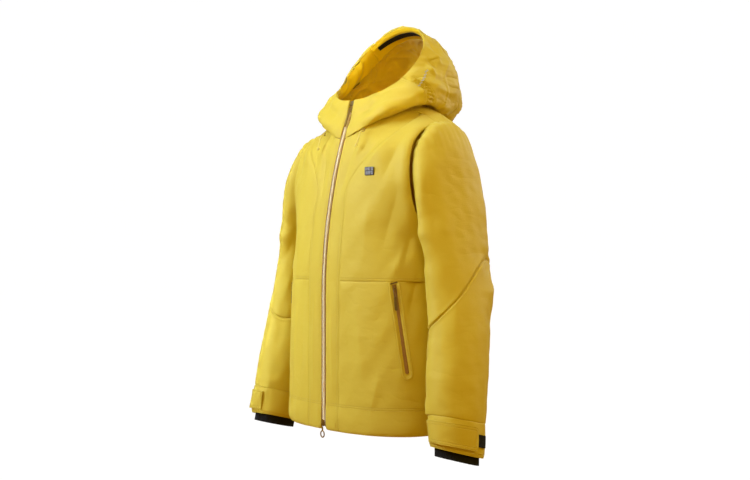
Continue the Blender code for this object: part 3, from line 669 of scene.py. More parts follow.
# ================= materials =================
def new_material(name):
    """New material, its node tree and the object's own coordinates."""
    made = bpy.data.materials.new(name)
    made.use_nodes = True
    return made, made.node_tree, node(made.node_tree, "ShaderNodeTexCoord").outputs["Object"]


def feed(tree, socket, value):
    """Link an input to an output, or set its own value; a colour's opacity is added."""
    if isinstance(value, bpy.types.NodeSocket):
        tree.links.new(value, socket)
    else:
        socket.default_value = (*value, 1.0) if socket.type == "RGBA" else value


def dress(made, **inputs):
    """Fill the shader's inputs, whose spaces are written as underscores."""
    tree = made.node_tree
    for key, value in inputs.items():
        feed(tree, tree.nodes["Principled BSDF"].inputs[key.replace("_", " ")], value)
    return made


def node(tree, kind, values=None, **settings):
    """New node with its settings, then its inputs set or linked."""
    made = tree.nodes.new(kind)
    for key, value in settings.items():
        setattr(made, key, value)
    for key, value in (values or {}).items():
        feed(tree, made.inputs[key], value)
    return made


def math_node(tree, operation, *values):
    return node(tree, "ShaderNodeMath", dict(enumerate(values)), operation=operation).outputs[0]


def noise(tree, vector, scale, detail=3.0, roughness=0.5):
    values = {"Vector": vector, "Scale": scale, "Detail": detail, "Roughness": roughness}
    return node(tree, "ShaderNodeTexNoise", values).outputs["Fac"]


def mix_colour(tree, factor, first, second):
    """Mix of two colours; the sockets go by number, because their names repeat."""
    return node(tree, "ShaderNodeMix", {0: factor, 6: first, 7: second}, data_type="RGBA").outputs[2]


def line(tree, distance, at, half_width):
    """1 on a thin line at a distance, 0 away from it."""
    off = math_node(tree, "ABSOLUTE", math_node(tree, "SUBTRACT", distance, at))
    values = {"Value": off, "From Min": half_width, "From Max": 0.4 * half_width}
    return node(tree, "ShaderNodeMapRange", values).outputs["Result"]


def bump(tree, height, distance, strength=1.0, below=None):
    values = {"Height": height, "Distance": distance, "Strength": strength}
    if below is not None:
        values["Normal"] = below
    return node(tree, "ShaderNodeBump", values).outputs["Normal"]


def weave(tree, place, pitch):
    """Plain weave: fine ripples crossed in three directions."""
    total = None
    for direction in ("X", "Z", "Y"):
        values = {"Vector": place, "Scale": WAVE_SCALE / pitch, "Distortion": 0.6, "Detail": 1.0,
                  "Detail Scale": 2.0}
        wave = node(tree, "ShaderNodeTexWave", values, bands_direction=direction).outputs["Fac"]
        total = wave if total is None else math_node(tree, "ADD", total, wave)
    return total


STITCH_ROWS = (0.0016, 0.0068)
WAVE_SCALE = 0.1 * math.pi     # scale of a wave texture whose bands are a metre apart
STITCH_PITCH = 0.0030


def shell_material(name, colour, pale, deep, roughness=0.58, crumple=0.004):
    """Matt woven face fabric with topstitching beside its seams."""
    made, tree, place = new_material(name)
    broad, fine = noise(tree, place, 9.0, 4.0), noise(tree, place, 420.0, 2.0)
    tint = mix_colour(tree, math_node(tree, "MULTIPLY", broad, 0.30), colour, pale)
    tint = mix_colour(tree, math_node(tree, "MULTIPLY", fine, 0.16), tint, deep)
    stitch, row, run = (node(tree, "ShaderNodeAttribute", attribute_name=key).outputs["Fac"]
                        for key in ("stitch", "row", "run"))
    lines = line(tree, stitch, STITCH_ROWS[0], 0.0007)
    others = ((stitch, STITCH_ROWS[1], 0.0007), (row, 0.0, 0.0008), (row, 0.0048, 0.0008))
    for distance, at, half_width in others:
        lines = math_node(tree, "MAXIMUM", lines, line(tree, distance, at, half_width))
    phase = math_node(tree, "SINE", math_node(tree, "MULTIPLY", run, 2 * math.pi / STITCH_PITCH))
    sunk = math_node(tree, "MULTIPLY", lines, math_node(tree, "MULTIPLY_ADD", phase, 0.35, 0.65))
    tint = mix_colour(tree, math_node(tree, "MULTIPLY", sunk, 0.45), tint, deep)
    woven = bump(tree, weave(tree, place, 0.0009), 0.00005, 0.5)
    slanted = node(tree, "ShaderNodeMapping", {"Vector": place, "Rotation": (math.radians(38), 0, 0),
                                               "Scale": (1.0, 0.45, 1.4)}).outputs["Vector"]
    field = math_node(tree, "SUBTRACT", noise(tree, slanted, 15.0, 2.5), 0.5)
    crumpled = bump(tree, math_node(tree, "ABSOLUTE", field), crumple, 0.8, woven)
    soft = bump(tree, noise(tree, place, 38.0, 4.0, 0.55), 0.0011, 0.35, crumpled)
    sewn = bump(tree, math_node(tree, "SUBTRACT", 1.0, lines), 0.0006, 0.8, soft)
    return dress(made, Base_Color=tint, Normal=sewn, Roughness=roughness, Sheen_Weight=0.12,
                 Sheen_Roughness=0.4, Sheen_Tint=(0.95, 1.0, 0.60), Specular_IOR_Level=0.22)


def lining_material(name, colour, deep):
    """Thin taffeta, a little shiny and finely crinkled."""
    made, tree, place = new_material(name)
    tint = mix_colour(tree, noise(tree, place, 26.0, 5.0), colour, deep)
    crinkle = bump(tree, noise(tree, place, 75.0, 5.0, 0.6), 0.0016, 0.7)
    woven = bump(tree, weave(tree, place, 0.0007), 0.00005, 0.4, crinkle)
    return dress(made, Base_Color=tint, Normal=woven, Roughness=0.46, Sheen_Weight=0.15)


def knit_material(name, colour, pale, pitch=0.0022):
    """Ribbed stretch knit."""
    made, tree, place = new_material(name)
    tint = mix_colour(tree, noise(tree, place, 300.0, 2.0), colour, pale)
    loops = bump(tree, weave(tree, place, pitch), 0.0005, 0.8)
    return dress(made, Base_Color=tint, Normal=loops, Roughness=0.9, Specular_IOR_Level=0.2)


def metal_material(name, colour, deep, roughness=0.34, metallic=0.85):
    """Satin metal, darker and duller in random patches."""
    made, tree, place = new_material(name)
    worn = noise(tree, place, 260.0, 4.0, 0.6)
    dull = math_node(tree, "MULTIPLY_ADD", worn, 0.22, roughness - 0.11)
    grain = bump(tree, noise(tree, place, 900.0, 2.0), 0.00006, 0.5)
    return dress(made, Base_Color=mix_colour(tree, worn, colour, deep), Roughness=dull, Normal=grain,
                 Metallic=metallic)


def tape_material(name, colour, pale, rib=0.0011, roughness=0.6):
    """Ribbed woven tape or coil."""
    made, tree, place = new_material(name)
    values = {"Vector": place, "Scale": WAVE_SCALE / rib, "Distortion": 0.2}
    ribs = node(tree, "ShaderNodeTexWave", values, bands_direction="Z").outputs["Fac"]
    tint = mix_colour(tree, ribs, colour, pale)
    return dress(made, Base_Color=tint, Normal=bump(tree, ribs, 0.0003, 0.8), Roughness=roughness)


def moulded_material(name, colour, pale, roughness=0.42):
    """Moulded plastic with a faint texture."""
    made, tree, place = new_material(name)
    tint = mix_colour(tree, noise(tree, place, 180.0, 3.0), colour, pale)
    grain = bump(tree, noise(tree, place, 1200.0, 2.0), 0.00008, 0.6)
    return dress(made, Base_Color=tint, Normal=grain, Roughness=roughness)


YELLOWS = (0.640, 0.462, 0.050), (0.68, 0.51, 0.075), (0.46, 0.28, 0.012)
SHELL = shell_material("shell_cloth", *YELLOWS)
HOOD_SHELL = shell_material("hood_cloth", *YELLOWS, crumple=0.030)
LINING = lining_material("gold_taffeta", (0.72, 0.44, 0.008), (0.56, 0.30, 0.004))
FACING = shell_material("facing_cloth", (0.90, 0.58, 0.012), (0.94, 0.64, 0.02), (0.58, 0.31, 0.002), 0.55)
KNIT = knit_material("black_knit", (0.006, 0.005, 0.007), (0.016, 0.014, 0.017))
MESH = knit_material("black_mesh", (0.008, 0.007, 0.009), (0.026, 0.024, 0.026), 0.0016)
GOLD = metal_material("pale_gold", (0.42, 0.26, 0.07), (0.20, 0.11, 0.03), 0.36, 0.8)
TEETH = moulded_material("gold_resin", (0.94, 0.76, 0.50), (0.96, 0.84, 0.64), 0.36)
TAPE = tape_material("brown_tape", (0.26, 0.105, 0.016), (0.36, 0.16, 0.03))
COIL = tape_material("brown_coil", (0.27, 0.115, 0.020), (0.38, 0.175, 0.035), 0.0014, 0.5)
CORD = tape_material("yellow_cord", (0.74, 0.56, 0.11), (0.86, 0.72, 0.26), 0.0016, 0.6)
BADGE = metal_material("grey_badge", (0.27, 0.24, 0.25), (0.12, 0.10, 0.11), 0.40, 0.7)
PULL = tape_material("dark_pull", (0.115, 0.060, 0.006), (0.19, 0.105, 0.012), 0.0014, 0.5)
BLACK = moulded_material("black_moulding", (0.012, 0.012, 0.013), (0.03, 0.03, 0.032))
PRINT = moulded_material("silver_print", (0.42, 0.37, 0.33), (0.52, 0.47, 0.42), 0.40)


# ================= torso =================
def hem_row(u, v, points):
    """Height above the hem's stitch row."""
    row = torso(u, 0 * v + RING_HEM_STITCH)
    return points[..., 2] - row[..., 2]


def front_edge(u, v, points):
    """The zip edge is a thin turned welt; the hem rolls under."""
    x = np.abs(points[..., 0])
    return ZIP_WELT[0] * bell(x - ZIP_EDGE_X, ZIP_WELT[1]) + hem_roll(u, v, points)


def hem_roll(u, v, points):
    height = points[..., 2] - points[..., 2].min()
    puff = 0.0014 * np.sin(np.clip(height / 0.055, 0, 1) * math.pi)
    return puff - 0.0020 * bell(height, 0.0030)


def armhole_roll(u, v, points):
    """The body's front edge stands a little proud where the sleeve is sewn under it."""
    near = left_side(points)
    gap = -armhole_distance(near)
    front = 1 - smooth(near[..., 1], -0.045, 0.0)
    return front * (0.0050 * bell(gap - 0.008, 0.011) - 0.0010 * bell(gap, 0.002))


def pocket_frame(mirror):
    """Frame at the top of the pocket's coil, with Y up along the coil."""
    top, bottom = torso(*np.array(POCKET_TOP)), torso(*np.array(POCKET_BOTTOM))
    outward = surface_normal(torso, *((np.array(POCKET_TOP) + np.array(POCKET_BOTTOM)) / 2))
    if mirror:
        top, bottom, outward = (value * (-1, 1, 1) for value in (top, bottom, outward))
    return local_frame(top, top - bottom, outward)


def local_frame(origin, along, outward):
    """Matrix whose Y runs along, Z points outward and X across."""
    y = Vector(along).normalized()
    z = (Vector(outward) - Vector(outward).dot(y) * y).normalized()
    return Matrix.Translation(Vector(origin)) @ Matrix((y.cross(z), y, z)).transposed().to_4x4()


SLOT_DIP = 0.0024
POCKET_STITCH = 0.0085
COIL_HALF = 0.0042            # half width
COIL_LEVEL = CROWN[0] - SLOT_DIP + 0.0006
COIL_BULGE = 0.0027           # how far the plain surface bulges over the straight coil


def pocket_place(points):
    """Distance from the pocket coil's centre line, and share of the way up it."""
    top, bottom = torso(*np.array(POCKET_TOP)), torso(*np.array(POCKET_BOTTOM))
    return segment_distance(left_side(points), bottom, top)


def pocket_welt(u, v, points):
    """Cloth dips to the coil between two pressed edges."""
    gap = pocket_place(points)[0]
    welt = 0.0008 * bell(gap - 0.0100, 0.0035)
    return welt - SLOT_DIP * np.exp(-((gap / 0.0058) ** 4)) + hem_roll(u, v, points)


def pocket_row(u, v, points):
    """Stitch rows of the hem, and one round the pocket."""
    hem = hem_row(u, v, points)
    gap = pocket_place(points)[0] - POCKET_STITCH
    return np.where(np.abs(gap) < np.abs(hem), gap, hem)


def neck_shape(u, v, points):
    """Small gathers where the body is sewn to the hood, and the welt beside the zip."""
    top = smooth(v, 0.955, 1.0)
    gathers = np.sin(points[..., 0] * 2 * math.pi / 0.013 + 2 * np.sin(points[..., 1] * 60))
    return 0.0009 * top * gathers + front_edge(u, v, points)


def torso_panels():
    side = constant(math.pi / 2)
    centre = patch(torso, zip_edge_torso, princess, 0.0, FRONT_TOP, 0.0038)
    chest = patch(torso, princess, armhole_angle, RING_WAIST, CHEST_TOP)
    lower = patch(torso, princess, side, 0.0, RING_WAIST, 0.0034)
    finish = (SHELL, torso_relief)
    for name, mirror in SIDES:
        padded_shell(f"front_centre_{name}", torso, centre, *finish, fill=0.35, sewn="right",
                     stitched="right", mirror=mirror, crown=NO_CROWN, shape=neck_shape, extra=hem_row)
        padded_shell(f"chest_{name}", torso, chest, *finish, fill=0.4, sewn="left bottom",
                     stitched="bottom", mirror=mirror, shape=armhole_roll)
        padded_shell(f"lower_front_{name}", torso, lower, *finish, fill=0.4, sewn="left right top",
                     mirror=mirror, shape=pocket_welt, extra=pocket_row)
    back = patch(torso, side, constant(1.5 * math.pi), 0.0, RING_BACK_YOKE, 0.0060)
    padded_shell("back_body", torso, back, *finish, fill=0.4, sewn="left right top", stitched="top",
                 shape=hem_roll, extra=hem_row)
    yoke = patch(torso, back_armhole_angle, right_armhole_angle, RING_BACK_YOKE, YOKE_TOP)
    padded_shell("back_yoke", torso, yoke, *finish, fill=0.4, sewn="bottom top", shape=armhole_roll)


def linings():
    inner_zip = at_x(((0.0, LINING_FRONT_X), (1.0, LINING_FRONT_X)), TORSO)
    front = patch(torso, inner_zip, armhole_angle, *LINING_RINGS, 0.010)
    back = patch(torso, back_armhole_angle, right_armhole_angle, *LINING_RINGS, 0.010)
    loose = {"thick": THIN_CLOTH, "lift": -0.0165, "thin": True}
    for name, mirror in SIDES:
        cloth(f"front_lining_{name}", "gold_lining", torso, front, LINING, sleeve_relief, mirror=mirror,
              **loose)
    cloth("back_lining", "gold_lining", torso, back, LINING, sleeve_relief, **loose)
    hem = patch(torso, inner_zip, lambda r: 2 * math.pi - inner_zip(r), 0.004, RING_HEM_STITCH, 0.008)
    cloth("hem_facing", "shell_fabric", torso, hem, SHELL, flat_relief, stitched="top", thick=THIN_CLOTH,
          lift=-0.0062, crown=NO_CROWN)


# ================= sleeves =================
def sleeve_cap(u, v, points):
    """In front, the sleeve head dips under the body's edge, then fills out."""
    near = left_side(points)
    gap = armhole_distance(near)
    front = smooth(np.sin(u), 0.15, 0.65)
    head = smooth(near[..., 2], -0.120, -0.045) * bell(gap, 0.040)
    gathers = 0.0016 * head * np.sin(near[..., 1] * 2 * math.pi / 0.017 + 40 * near[..., 2])
    dip = -0.0095 * bell(gap, 0.017) + 0.0020 * bell(gap - 0.055, 0.022)
    return front * dip + gathers


def cuff_fold(u, v, points):
    """The cuff band's lower edge rolls in, and it wrinkles a little above the tab."""
    low = smooth(v, 0.985, 1.0)
    return -0.0018 * low ** 2 + 0.0008 * np.sin(u * 9.0) * (1 - smooth(v, 0.905, 0.935))


def elbow_puff(u, v, points):
    """Shaped elbow: small tucks behind the arm."""
    behind = smooth(-np.sin(u), 0.2, 0.8)
    return 0.0022 * behind * np.sin(points[..., 2] * 2 * math.pi / 0.030) * bell(v - 0.48, 0.09)


def elbow_ridge(u, v, points):
    """Raised double row beside the elbow seam."""
    gap = np.abs(v - elbow_ring(u)) * SLEEVE_RUN
    return 0.0018 * bell(gap - 0.0050, 0.0030)


def sleeve_upper_shape(u, v, points):
    return sleeve_cap(u, v, points) + elbow_puff(u, v, points) + elbow_ridge(u, v, points)


def gaiter_ribs(u, v, points):
    return 0.0005 * np.sin(u * 72)


def sleeve_panels():
    upper = tube(sleeve, constant(0.001), lambda a: elbow_ring(a) - 0.0002, 0.0052)
    lower = tube(sleeve, lambda a: elbow_ring(a) + 0.0002, constant(CUFF_RING - 0.0002), 0.0048)
    cuff = tube(sleeve, constant(CUFF_RING + 0.0002), constant(1.0), 0.0044)
    gaiter = tube(gaiter_surface, constant(-0.030), constant(0.017), 0.0022)
    for name, mirror in SIDES:
        ring = {"wrap": True, "mirror": mirror}
        padded_shell(f"sleeve_upper_{name}", sleeve, upper, SHELL, sleeve_relief, fill=0.45, sewn="top",
                     stitched="top", crown=PUFFED, shape=sleeve_upper_shape, **ring)
        padded_shell(f"sleeve_lower_{name}", sleeve, lower, SHELL, sleeve_relief, fill=0.45,
                     sewn="bottom top", stitched="bottom", crown=PUFFED, shape=elbow_ridge, **ring)
        padded_shell(f"cuff_band_{name}", sleeve, cuff, SHELL, flat_relief, fill=0.3, sewn="bottom",
                     stitched="top", shape=cuff_fold, **ring)
        cloth(f"cuff_gaiter_{name}", "black_knit", gaiter_surface, gaiter, KNIT, flat_relief, thick=0.0020,
              shape=gaiter_ribs, **ring)
        cuff_tab(name, mirror)


TAB_MIDDLE = 0.9525
CUFF_TAB = (-5, 112, 0.920, 0.985)        # two angles in degrees and two rings
HOOK_TAPE = (-34, -8, 0.938, 0.972)
TAB_CORNER = 9.0              # degrees of sleeve in which the free end's corners round off


def cuff_tab(name, mirror):
    """Pull tab over the cuff, and the strip of hook tape that it closes on."""
    u, v = sector(sleeve, *CUFF_TAB, 0.0030)
    near_end = np.clip(1 - (u - u.min()) / math.radians(TAB_CORNER), 0, 1)
    shrink = 1 - 0.30 * (1 - np.sqrt(1 - near_end ** 2))
    tab = u, TAB_MIDDLE + (v - TAB_MIDDLE) * shrink
    cloth(f"cuff_tab_{name}", "shell_fabric", sleeve, tab, SHELL, flat_relief, body=f"cuff_tab_{name}",
          stitched="left right bottom top", mirror=mirror, thick=0.0019, lift=0.0042, shape=tab_shape)
    hooks = sector(sleeve, *HOOK_TAPE, 0.0030)
    cloth(f"cuff_loop_strip_{name}", "black_knit", sleeve, hooks, KNIT, flat_relief, mirror=mirror,
          thick=0.0016, lift=0.0030)


def tab_shape(u, v, points):
    end = smooth(u, math.radians(CUFF_TAB[0]), math.radians(2))
    pinch = 0.0022 * np.sin(u * 5.2 + 30 * (v - TAB_MIDDLE)) * smooth(u, 0.4, 1.2)
    return -0.0007 * (1 - end) + pinch + 0.0008


# ================= hood =================
def from_front(u):
    """Angle from the zip, the same on both sides."""
    return np.abs(np.where(u > math.pi, 2 * math.pi - u, u))


def rim_edge(u, v, points):
    """The rim's edge is turned in, and the collar is lower beside the zip."""
    x = np.abs(points[..., 0])
    beside = ZIP_WELT[0] * bell(x - ZIP_EDGE_X, ZIP_WELT[1]) * (1 - smooth(v, 0.6, 0.95))
    return beside + 0.0008 * bell(1 - v, 0.05)


HOOD_RUN = 0.15               # metres of hood for one radian
CHANNEL_WIDTH = 0.0145


def channel_gathers(u, v, points):
    """Ladder of puckers in the adjuster's channel, behind the cheek seam."""
    along = (u - cheek_seam(v)) * HOOD_RUN
    band = smooth(along, 0.001, 0.003) * (1 - smooth(along, 0.012, 0.016))
    stretch = smooth(v, 0.16, 0.26) * (1 - smooth(v, 0.74, 0.86))
    puckers = 0.0034 * band * stretch * np.sin(v * 2 * math.pi * 13 + 3 * along / 0.015)
    edge = -0.0030 * stretch * bell(along - CHANNEL_WIDTH, 0.0020)
    return puckers + edge + rim_edge(u, v, points)


def channel_row(u, v, points):
    """Second stitch row of the adjuster's channel."""
    along = (u - cheek_seam(v)) * HOOD_RUN - CHANNEL_WIDTH
    return np.where((v > 0.14) & (v < 0.9), along, FAR)


def lining_quilt(u, v, points):
    """Padded lining with stitched curves, crumpled between them."""
    angle = from_front(u)
    rows = np.sin(9.0 * v + 1.7 * np.sin(1.5 * angle) + 2.0 * np.sin(2.1 * angle + 3 * v))
    stitched = -0.0026 * bell(rows, 0.12)
    crumple = 0.0024 * (creases(points * (1, 1, 0.5), 0.032, 51) - 0.35) + 0.0012 * drift(points, 0.03, 57)
    return stitched - crumple


def facing_edge(angle):
    """Ring that lies the facing's depth in from the rim."""
    rings = np.linspace(1.0, 0.2, 161)
    around = np.linspace(0, 2 * math.pi, 73)
    grid = hood(np.repeat(around[None], 161, 0), np.repeat(rings[:, None], 73, 1))
    run = arc_length(grid)
    deep = [np.interp(FACING_DEPTH, run[:, k], rings) for k in range(73)]
    return np.interp(angle, around, deep)


def facing_shape(u, v, points):
    """The facing rolls over the rim and is drawn up by its elastic, most of all at the chin."""
    angle = from_front(u)
    depth = (1 - v) / (1 - facing_edge(u))
    side = smooth(angle, 0.10, 0.30) * (1 - smooth(angle, 1.9, 2.15))
    chin = smooth(angle, 0.10, 0.22) * (1 - smooth(angle, 0.75, 1.25))
    roll = -0.0070 * np.sin(math.pi * np.clip(depth, 0, 1)) ** 0.8
    slant = angle * 26 + 5 * depth + 1.2 * np.sin(angle * 7)
    puckers = 0.0020 * side * np.sin(slant) * bell(depth, 0.5)
    gathers = 0.0048 * chin * np.sin(angle * 31 + 1.8 * np.sin(angle * 11)) * (1 - 0.6 * depth)
    waves = 0.0030 * side * np.sin(angle * 13 + 5 * depth)
    seam = 0.0035 * bell(angle - BRIM_SEAM, 0.018)
    return 0.0060 * (1 - smooth(depth, 0.0, 0.16)) + side * roll + puckers + gathers + waves + seam


def hood_panels():
    crown_seam, other_seam = constant(CROWN_SEAM), constant(2 * math.pi - CROWN_SEAM)
    cheek = patch(hood, zip_edge_hood, cheek_seam, *HOOD_RINGS, 0.0036)
    side = patch(hood, cheek_seam, crown_seam, *HOOD_RINGS, 0.0034)
    crown = patch(hood, crown_seam, other_seam, *HOOD_RINGS, 0.0046)
    for name, mirror in SIDES:
        padded_shell(f"hood_cheek_{name}", hood, cheek, SHELL, hood_relief, fill=0.35, sewn="right bottom",
                     stitched="right", mirror=mirror, shape=rim_edge)
        padded_shell(f"hood_side_{name}", hood, side, HOOD_SHELL, hood_relief, fill=0.35, mirror=mirror,
                     sewn="left right bottom", shape=channel_gathers, extra=channel_row)
    padded_shell("hood_crown", hood, crown, HOOD_SHELL, hood_relief, fill=0.35, sewn="left right bottom",
                 stitched="left right")
    turn = (FACING_START, 2 * math.pi - FACING_START)
    facing = fan(hood, *turn, facing_edge, constant(0.997), 0.0026)
    inside = {"thick": THIN_CLOTH, "crown": NO_CROWN, "thin": True}
    cloth("hood_facing", "gold_lining", hood, facing, FACING, flat_relief, lift=-0.0090,
          shape=facing_shape, **inside)
    lining = fan(hood, *turn, constant(0.10), lambda a: facing_edge(a) + 0.03, 0.0036)
    cloth("hood_lining", "gold_lining", hood, lining, LINING, flat_relief, padded=0.4, lift=-0.0150,
          shape=lining_quilt, **inside)
    # Painted shadow: a thin dark wire along the facing's inner edge stands for the shade line where the
    # padded facing overhangs the lining.
    angles = np.linspace(*turn, 160)
    rings = facing_edge(angles)
    painted_shadow_line = hood(angles, rings) - surface_normal(hood, angles, rings) * 0.0112
    keep(wire("facing_painted_shadow_line", painted_shadow_line, 0.0011, PULL), node=False)
    mesh = sector(hood, *BRIM_MESH, 0.003)
    cloth("brim_mesh_strip", "black_knit", hood, mesh, MESH, flat_relief, thick=0.0010, lift=-0.0108,
          crown=NO_CROWN)


# ================= front zip =================
TOOTH_PITCH = 0.0027
PULL_HEIGHT = 0.0006          # of a pull's middle over the slider's own level
TOOTH_HALF = ((0.0046, 0.00055), (0.0012, 0.00055), (0.0004, 0.00090), (-0.0008, 0.00090),
              (-0.0012, 0.0004))
TOOTH_OUTLINE = tuple((x, -y) for x, y in TOOTH_HALF) + TOOTH_HALF[::-1]
TOOTH_DEPTHS = (-0.0052, -0.0018, -0.0010)
TOOTH_SHRINK = (1.0, 1.0, 0.72)


def zip_teeth(name, sign):
    """Row of moulded teeth, each a stem with a rounded head, in step with the other side."""
    verts, faces = [], []
    count = len(TOOTH_OUTLINE)
    start = ZIP_BOTTOM_Z + 0.002 + (0.0 if sign > 0 else TOOTH_PITCH / 2)
    for z in np.arange(start, TEETH_TOP_Z, TOOTH_PITCH):
        slope = max(0.0, (z - ARC_START_Z) / ARC_RADIUS)
        up = np.array([0.0, slope, math.sqrt(1 - slope * slope)])
        out = np.array([0.0, -up[2], up[1]])
        origin = np.array([0.0, float(zip_y(z)), z])
        first = len(verts)
        for depth, shrink in zip(TOOTH_DEPTHS, TOOTH_SHRINK):
            for x, y in TOOTH_OUTLINE:
                across = 0.0013 + (x - 0.0013) * shrink
                verts.append(origin + np.array([sign * across, 0, 0]) + up * y * shrink + out * depth)
        rings = [list(range(first + k * count, first + (k + 1) * count)) for k in range(len(TOOTH_DEPTHS))]
        new = [rings[-1], rings[0][::-1]]
        for low, high in zip(rings[:-1], rings[1:]):
            new += [[low[k - 1], low[k], high[k], high[k - 1]] for k in range(count)]
        faces += new if sign < 0 else [face[::-1] for face in new]
    return mesh_object(name, verts, faces, TEETH, 35)


def strip(name, x_low, x_high, z_low, z_high, top, thick, material, sign=1, bead=0.0):
    """Long strip on the zip line, with a rounded bead along its outer edge if asked."""
    heights = np.linspace(z_low, z_high, int((z_high - z_low) / 0.008) + 1)
    share = np.linspace(0, 1, 9)
    x = np.repeat((x_low + (x_high - x_low) * share)[None], len(heights), 0)
    z = np.repeat(heights[:, None], 9, 1)
    points, normal = zip_surface(x, z), surface_normal(zip_surface, x, z)
    swell = bead * np.sqrt(np.clip(1 - (2 * share - 1) ** 2, 0, 1))
    outer = points + normal * (top + swell)[None, :, None]
    return slab(name, outer, points + normal * (top - thick), material, sign < 0)


def both_sides(half):
    """Outline from its right-hand points, bottom to top, and their mirror images."""
    left = [(-x, y) for x, y in half]
    return [left[0], *half, *left[:0:-1]]


def rectangle(x, y, half_x, half_y):
    return [(x + i * half_x, y + j * half_y) for i, j in ((-1, -1), (1, -1), (1, 1), (-1, 1))]


def rounded(outline, radius, steps=3):
    """Outline with each corner cut into a short curve."""
    points = []
    count = len(outline)
    for k in range(count):
        before, here, after = (np.array(outline[(k + j) % count], float) for j in (-1, 0, 1))
        reach = min(radius, 0.45 * np.linalg.norm(before - here), 0.45 * np.linalg.norm(after - here))
        a = here + (before - here) / np.linalg.norm(before - here) * reach
        b = here + (after - here) / np.linalg.norm(after - here) * reach
        for t in np.linspace(0, 1, steps + 1):
            points.append((1 - t) ** 2 * a + 2 * t * (1 - t) * here + t * t * b)
    return points


def new_curve(name, dimensions, bevel, resolution, lines, cyclic):
    """Curve object with a bevel, from lists of points."""
    curve = bpy.data.curves.new(name, "CURVE")
    curve.dimensions = dimensions
    curve.bevel_depth = bevel
    curve.bevel_resolution = resolution
    for points in lines:
        spline = curve.splines.new("POLY")
        spline.points.add(len(points) - 1)
        for point, place in zip(spline.points, points):
            point.co = (*place, 1)
        spline.use_cyclic_u = cyclic
    return new_object(name, curve)


def plate(name, outline, low, high, place, material, hole=None, bevel=0.0003):
    """Flat piece with bevelled edges and an optional hole, in a local frame."""
    lines = [[(x, y, 0) for x, y in points] for points in (outline, hole) if points is not None]
    made = new_curve(name, "2D", bevel, 2, lines, True)
    made.data.fill_mode = "BOTH"
    made.data.extrude = (high - low) / 2 - bevel
    made.matrix_world = place @ Matrix.Translation((0, 0, (low + high) / 2))
    return to_mesh(made, material)


def to_mesh(made, material):
    """Replace a curve object by the mesh it draws, in world space."""
    bpy.context.view_layer.update()
    graph = bpy.context.evaluated_depsgraph_get()
    mesh = bpy.data.meshes.new_from_object(made.evaluated_get(graph))
    mesh.transform(made.matrix_world)
    name = made.name
    bpy.data.objects.remove(made)
    mesh.materials.clear()
    mesh.materials.append(material)
    mesh.shade_smooth()
    mesh.set_sharp_from_angle(angle=math.radians(40))
    return new_object(name, mesh)


def join(name, parts, material):
    """One object from several meshes."""
    verts, faces, first = [], [], 0
    for part in parts:
        verts += [tuple(v.co) for v in part.data.vertices]
        faces += [[first + k for k in face.vertices] for face in part.data.polygons]
        first = len(verts)
        bpy.data.objects.remove(part)
    return mesh_object(name, verts, faces, material, 40)


def slider_frame(z):
    """Frame of a slider on the front zip line."""
    angle = math.asin(max(0.0, (z - ARC_START_Z) / ARC_RADIUS))
    back, up = math.sin(angle), math.cos(angle)
    return local_frame((0.0, float(zip_y(z)), z), (0, back, up), (0, -up, back))


def wire(name, points, radius, material, cyclic=False):
    """Round wire through some points; an open one has flat ends."""
    made = new_curve(name, "3D", radius, 4, [points], cyclic)
    made.data.use_fill_caps = not cyclic
    return to_mesh(made, material)


def slider_body(name, place, half_width, half_length, plate_low, plate_high, bridge):
    """Shield-shaped cap, two flanges and an arched bridge, which rides on its own body."""
    shield = both_sides([(half_width * 0.72, -half_length), (half_width, half_length * 0.35),
                         (half_width * 0.70, half_length)])
    parts = [plate("cap", rounded(shield, 0.0022, 4), plate_low, plate_high, place, GOLD)]
    for sign in (1, -1):
        flange = rectangle(sign * half_width * 0.91, -half_length * 0.2, 0.0005, half_length * 0.6)
        parts.append(plate("flange", flange, plate_low - 0.0011, plate_low + 0.0003, place, GOLD,
                           bevel=0.0002))
    arch = [place @ Vector((0, bridge[0] * math.cos(a), plate_high + bridge[1] * math.sin(a)))
            for a in np.linspace(0, math.pi, 13)]
    parts.append(wire("bridge", arch, 0.0007, GOLD))
    keep(join(name, parts, GOLD), name)


def ring_points(place, radius_x, radius_y, centre_y, height):
    angles = np.linspace(0, 2 * math.pi, 28, endpoint=False)
    return [place @ Vector((radius_x * math.cos(a), centre_y + radius_y * math.sin(a), height))
            for a in angles]


def top_pull(name, place):
    """Long slim pull: a metal link and a flat moulded tab."""
    link = wire("link", ring_points(place, 0.0021, 0.0042, -0.0042, PULL_HEIGHT), 0.0005, GOLD, True)
    outline = rounded(both_sides([(0.0026, -0.0440), (0.0032, -0.0380), (0.0024, -0.0085)]), 0.0016, 4)
    hole = rounded(rectangle(0, -0.01025, 0.0010, 0.00075), 0.0004, 2)
    tab = plate("tab", outline, PULL_HEIGHT - 0.0006, PULL_HEIGHT + 0.0008, place, GOLD, hole)
    keep(join(name, [link, tab], GOLD), name)


def bottom_pull(name, place):
    """Ring pull that hangs below the hem."""
    link = wire("link", ring_points(place, 0.0021, 0.0046, -0.0046, PULL_HEIGHT), 0.0005, GOLD, True)
    outline = rounded(both_sides([(0.0021, -0.0175), (0.0013, -0.0085)]), 0.0006, 3)
    stem = plate("stem", outline, PULL_HEIGHT - 0.0007, PULL_HEIGHT + 0.0007, place, GOLD)
    ring = wire("ring", ring_points(place, 0.0060, 0.0070, -0.0245, PULL_HEIGHT), 0.0014, GOLD, True)
    keep(join(name, [link, stem, ring], GOLD), name)


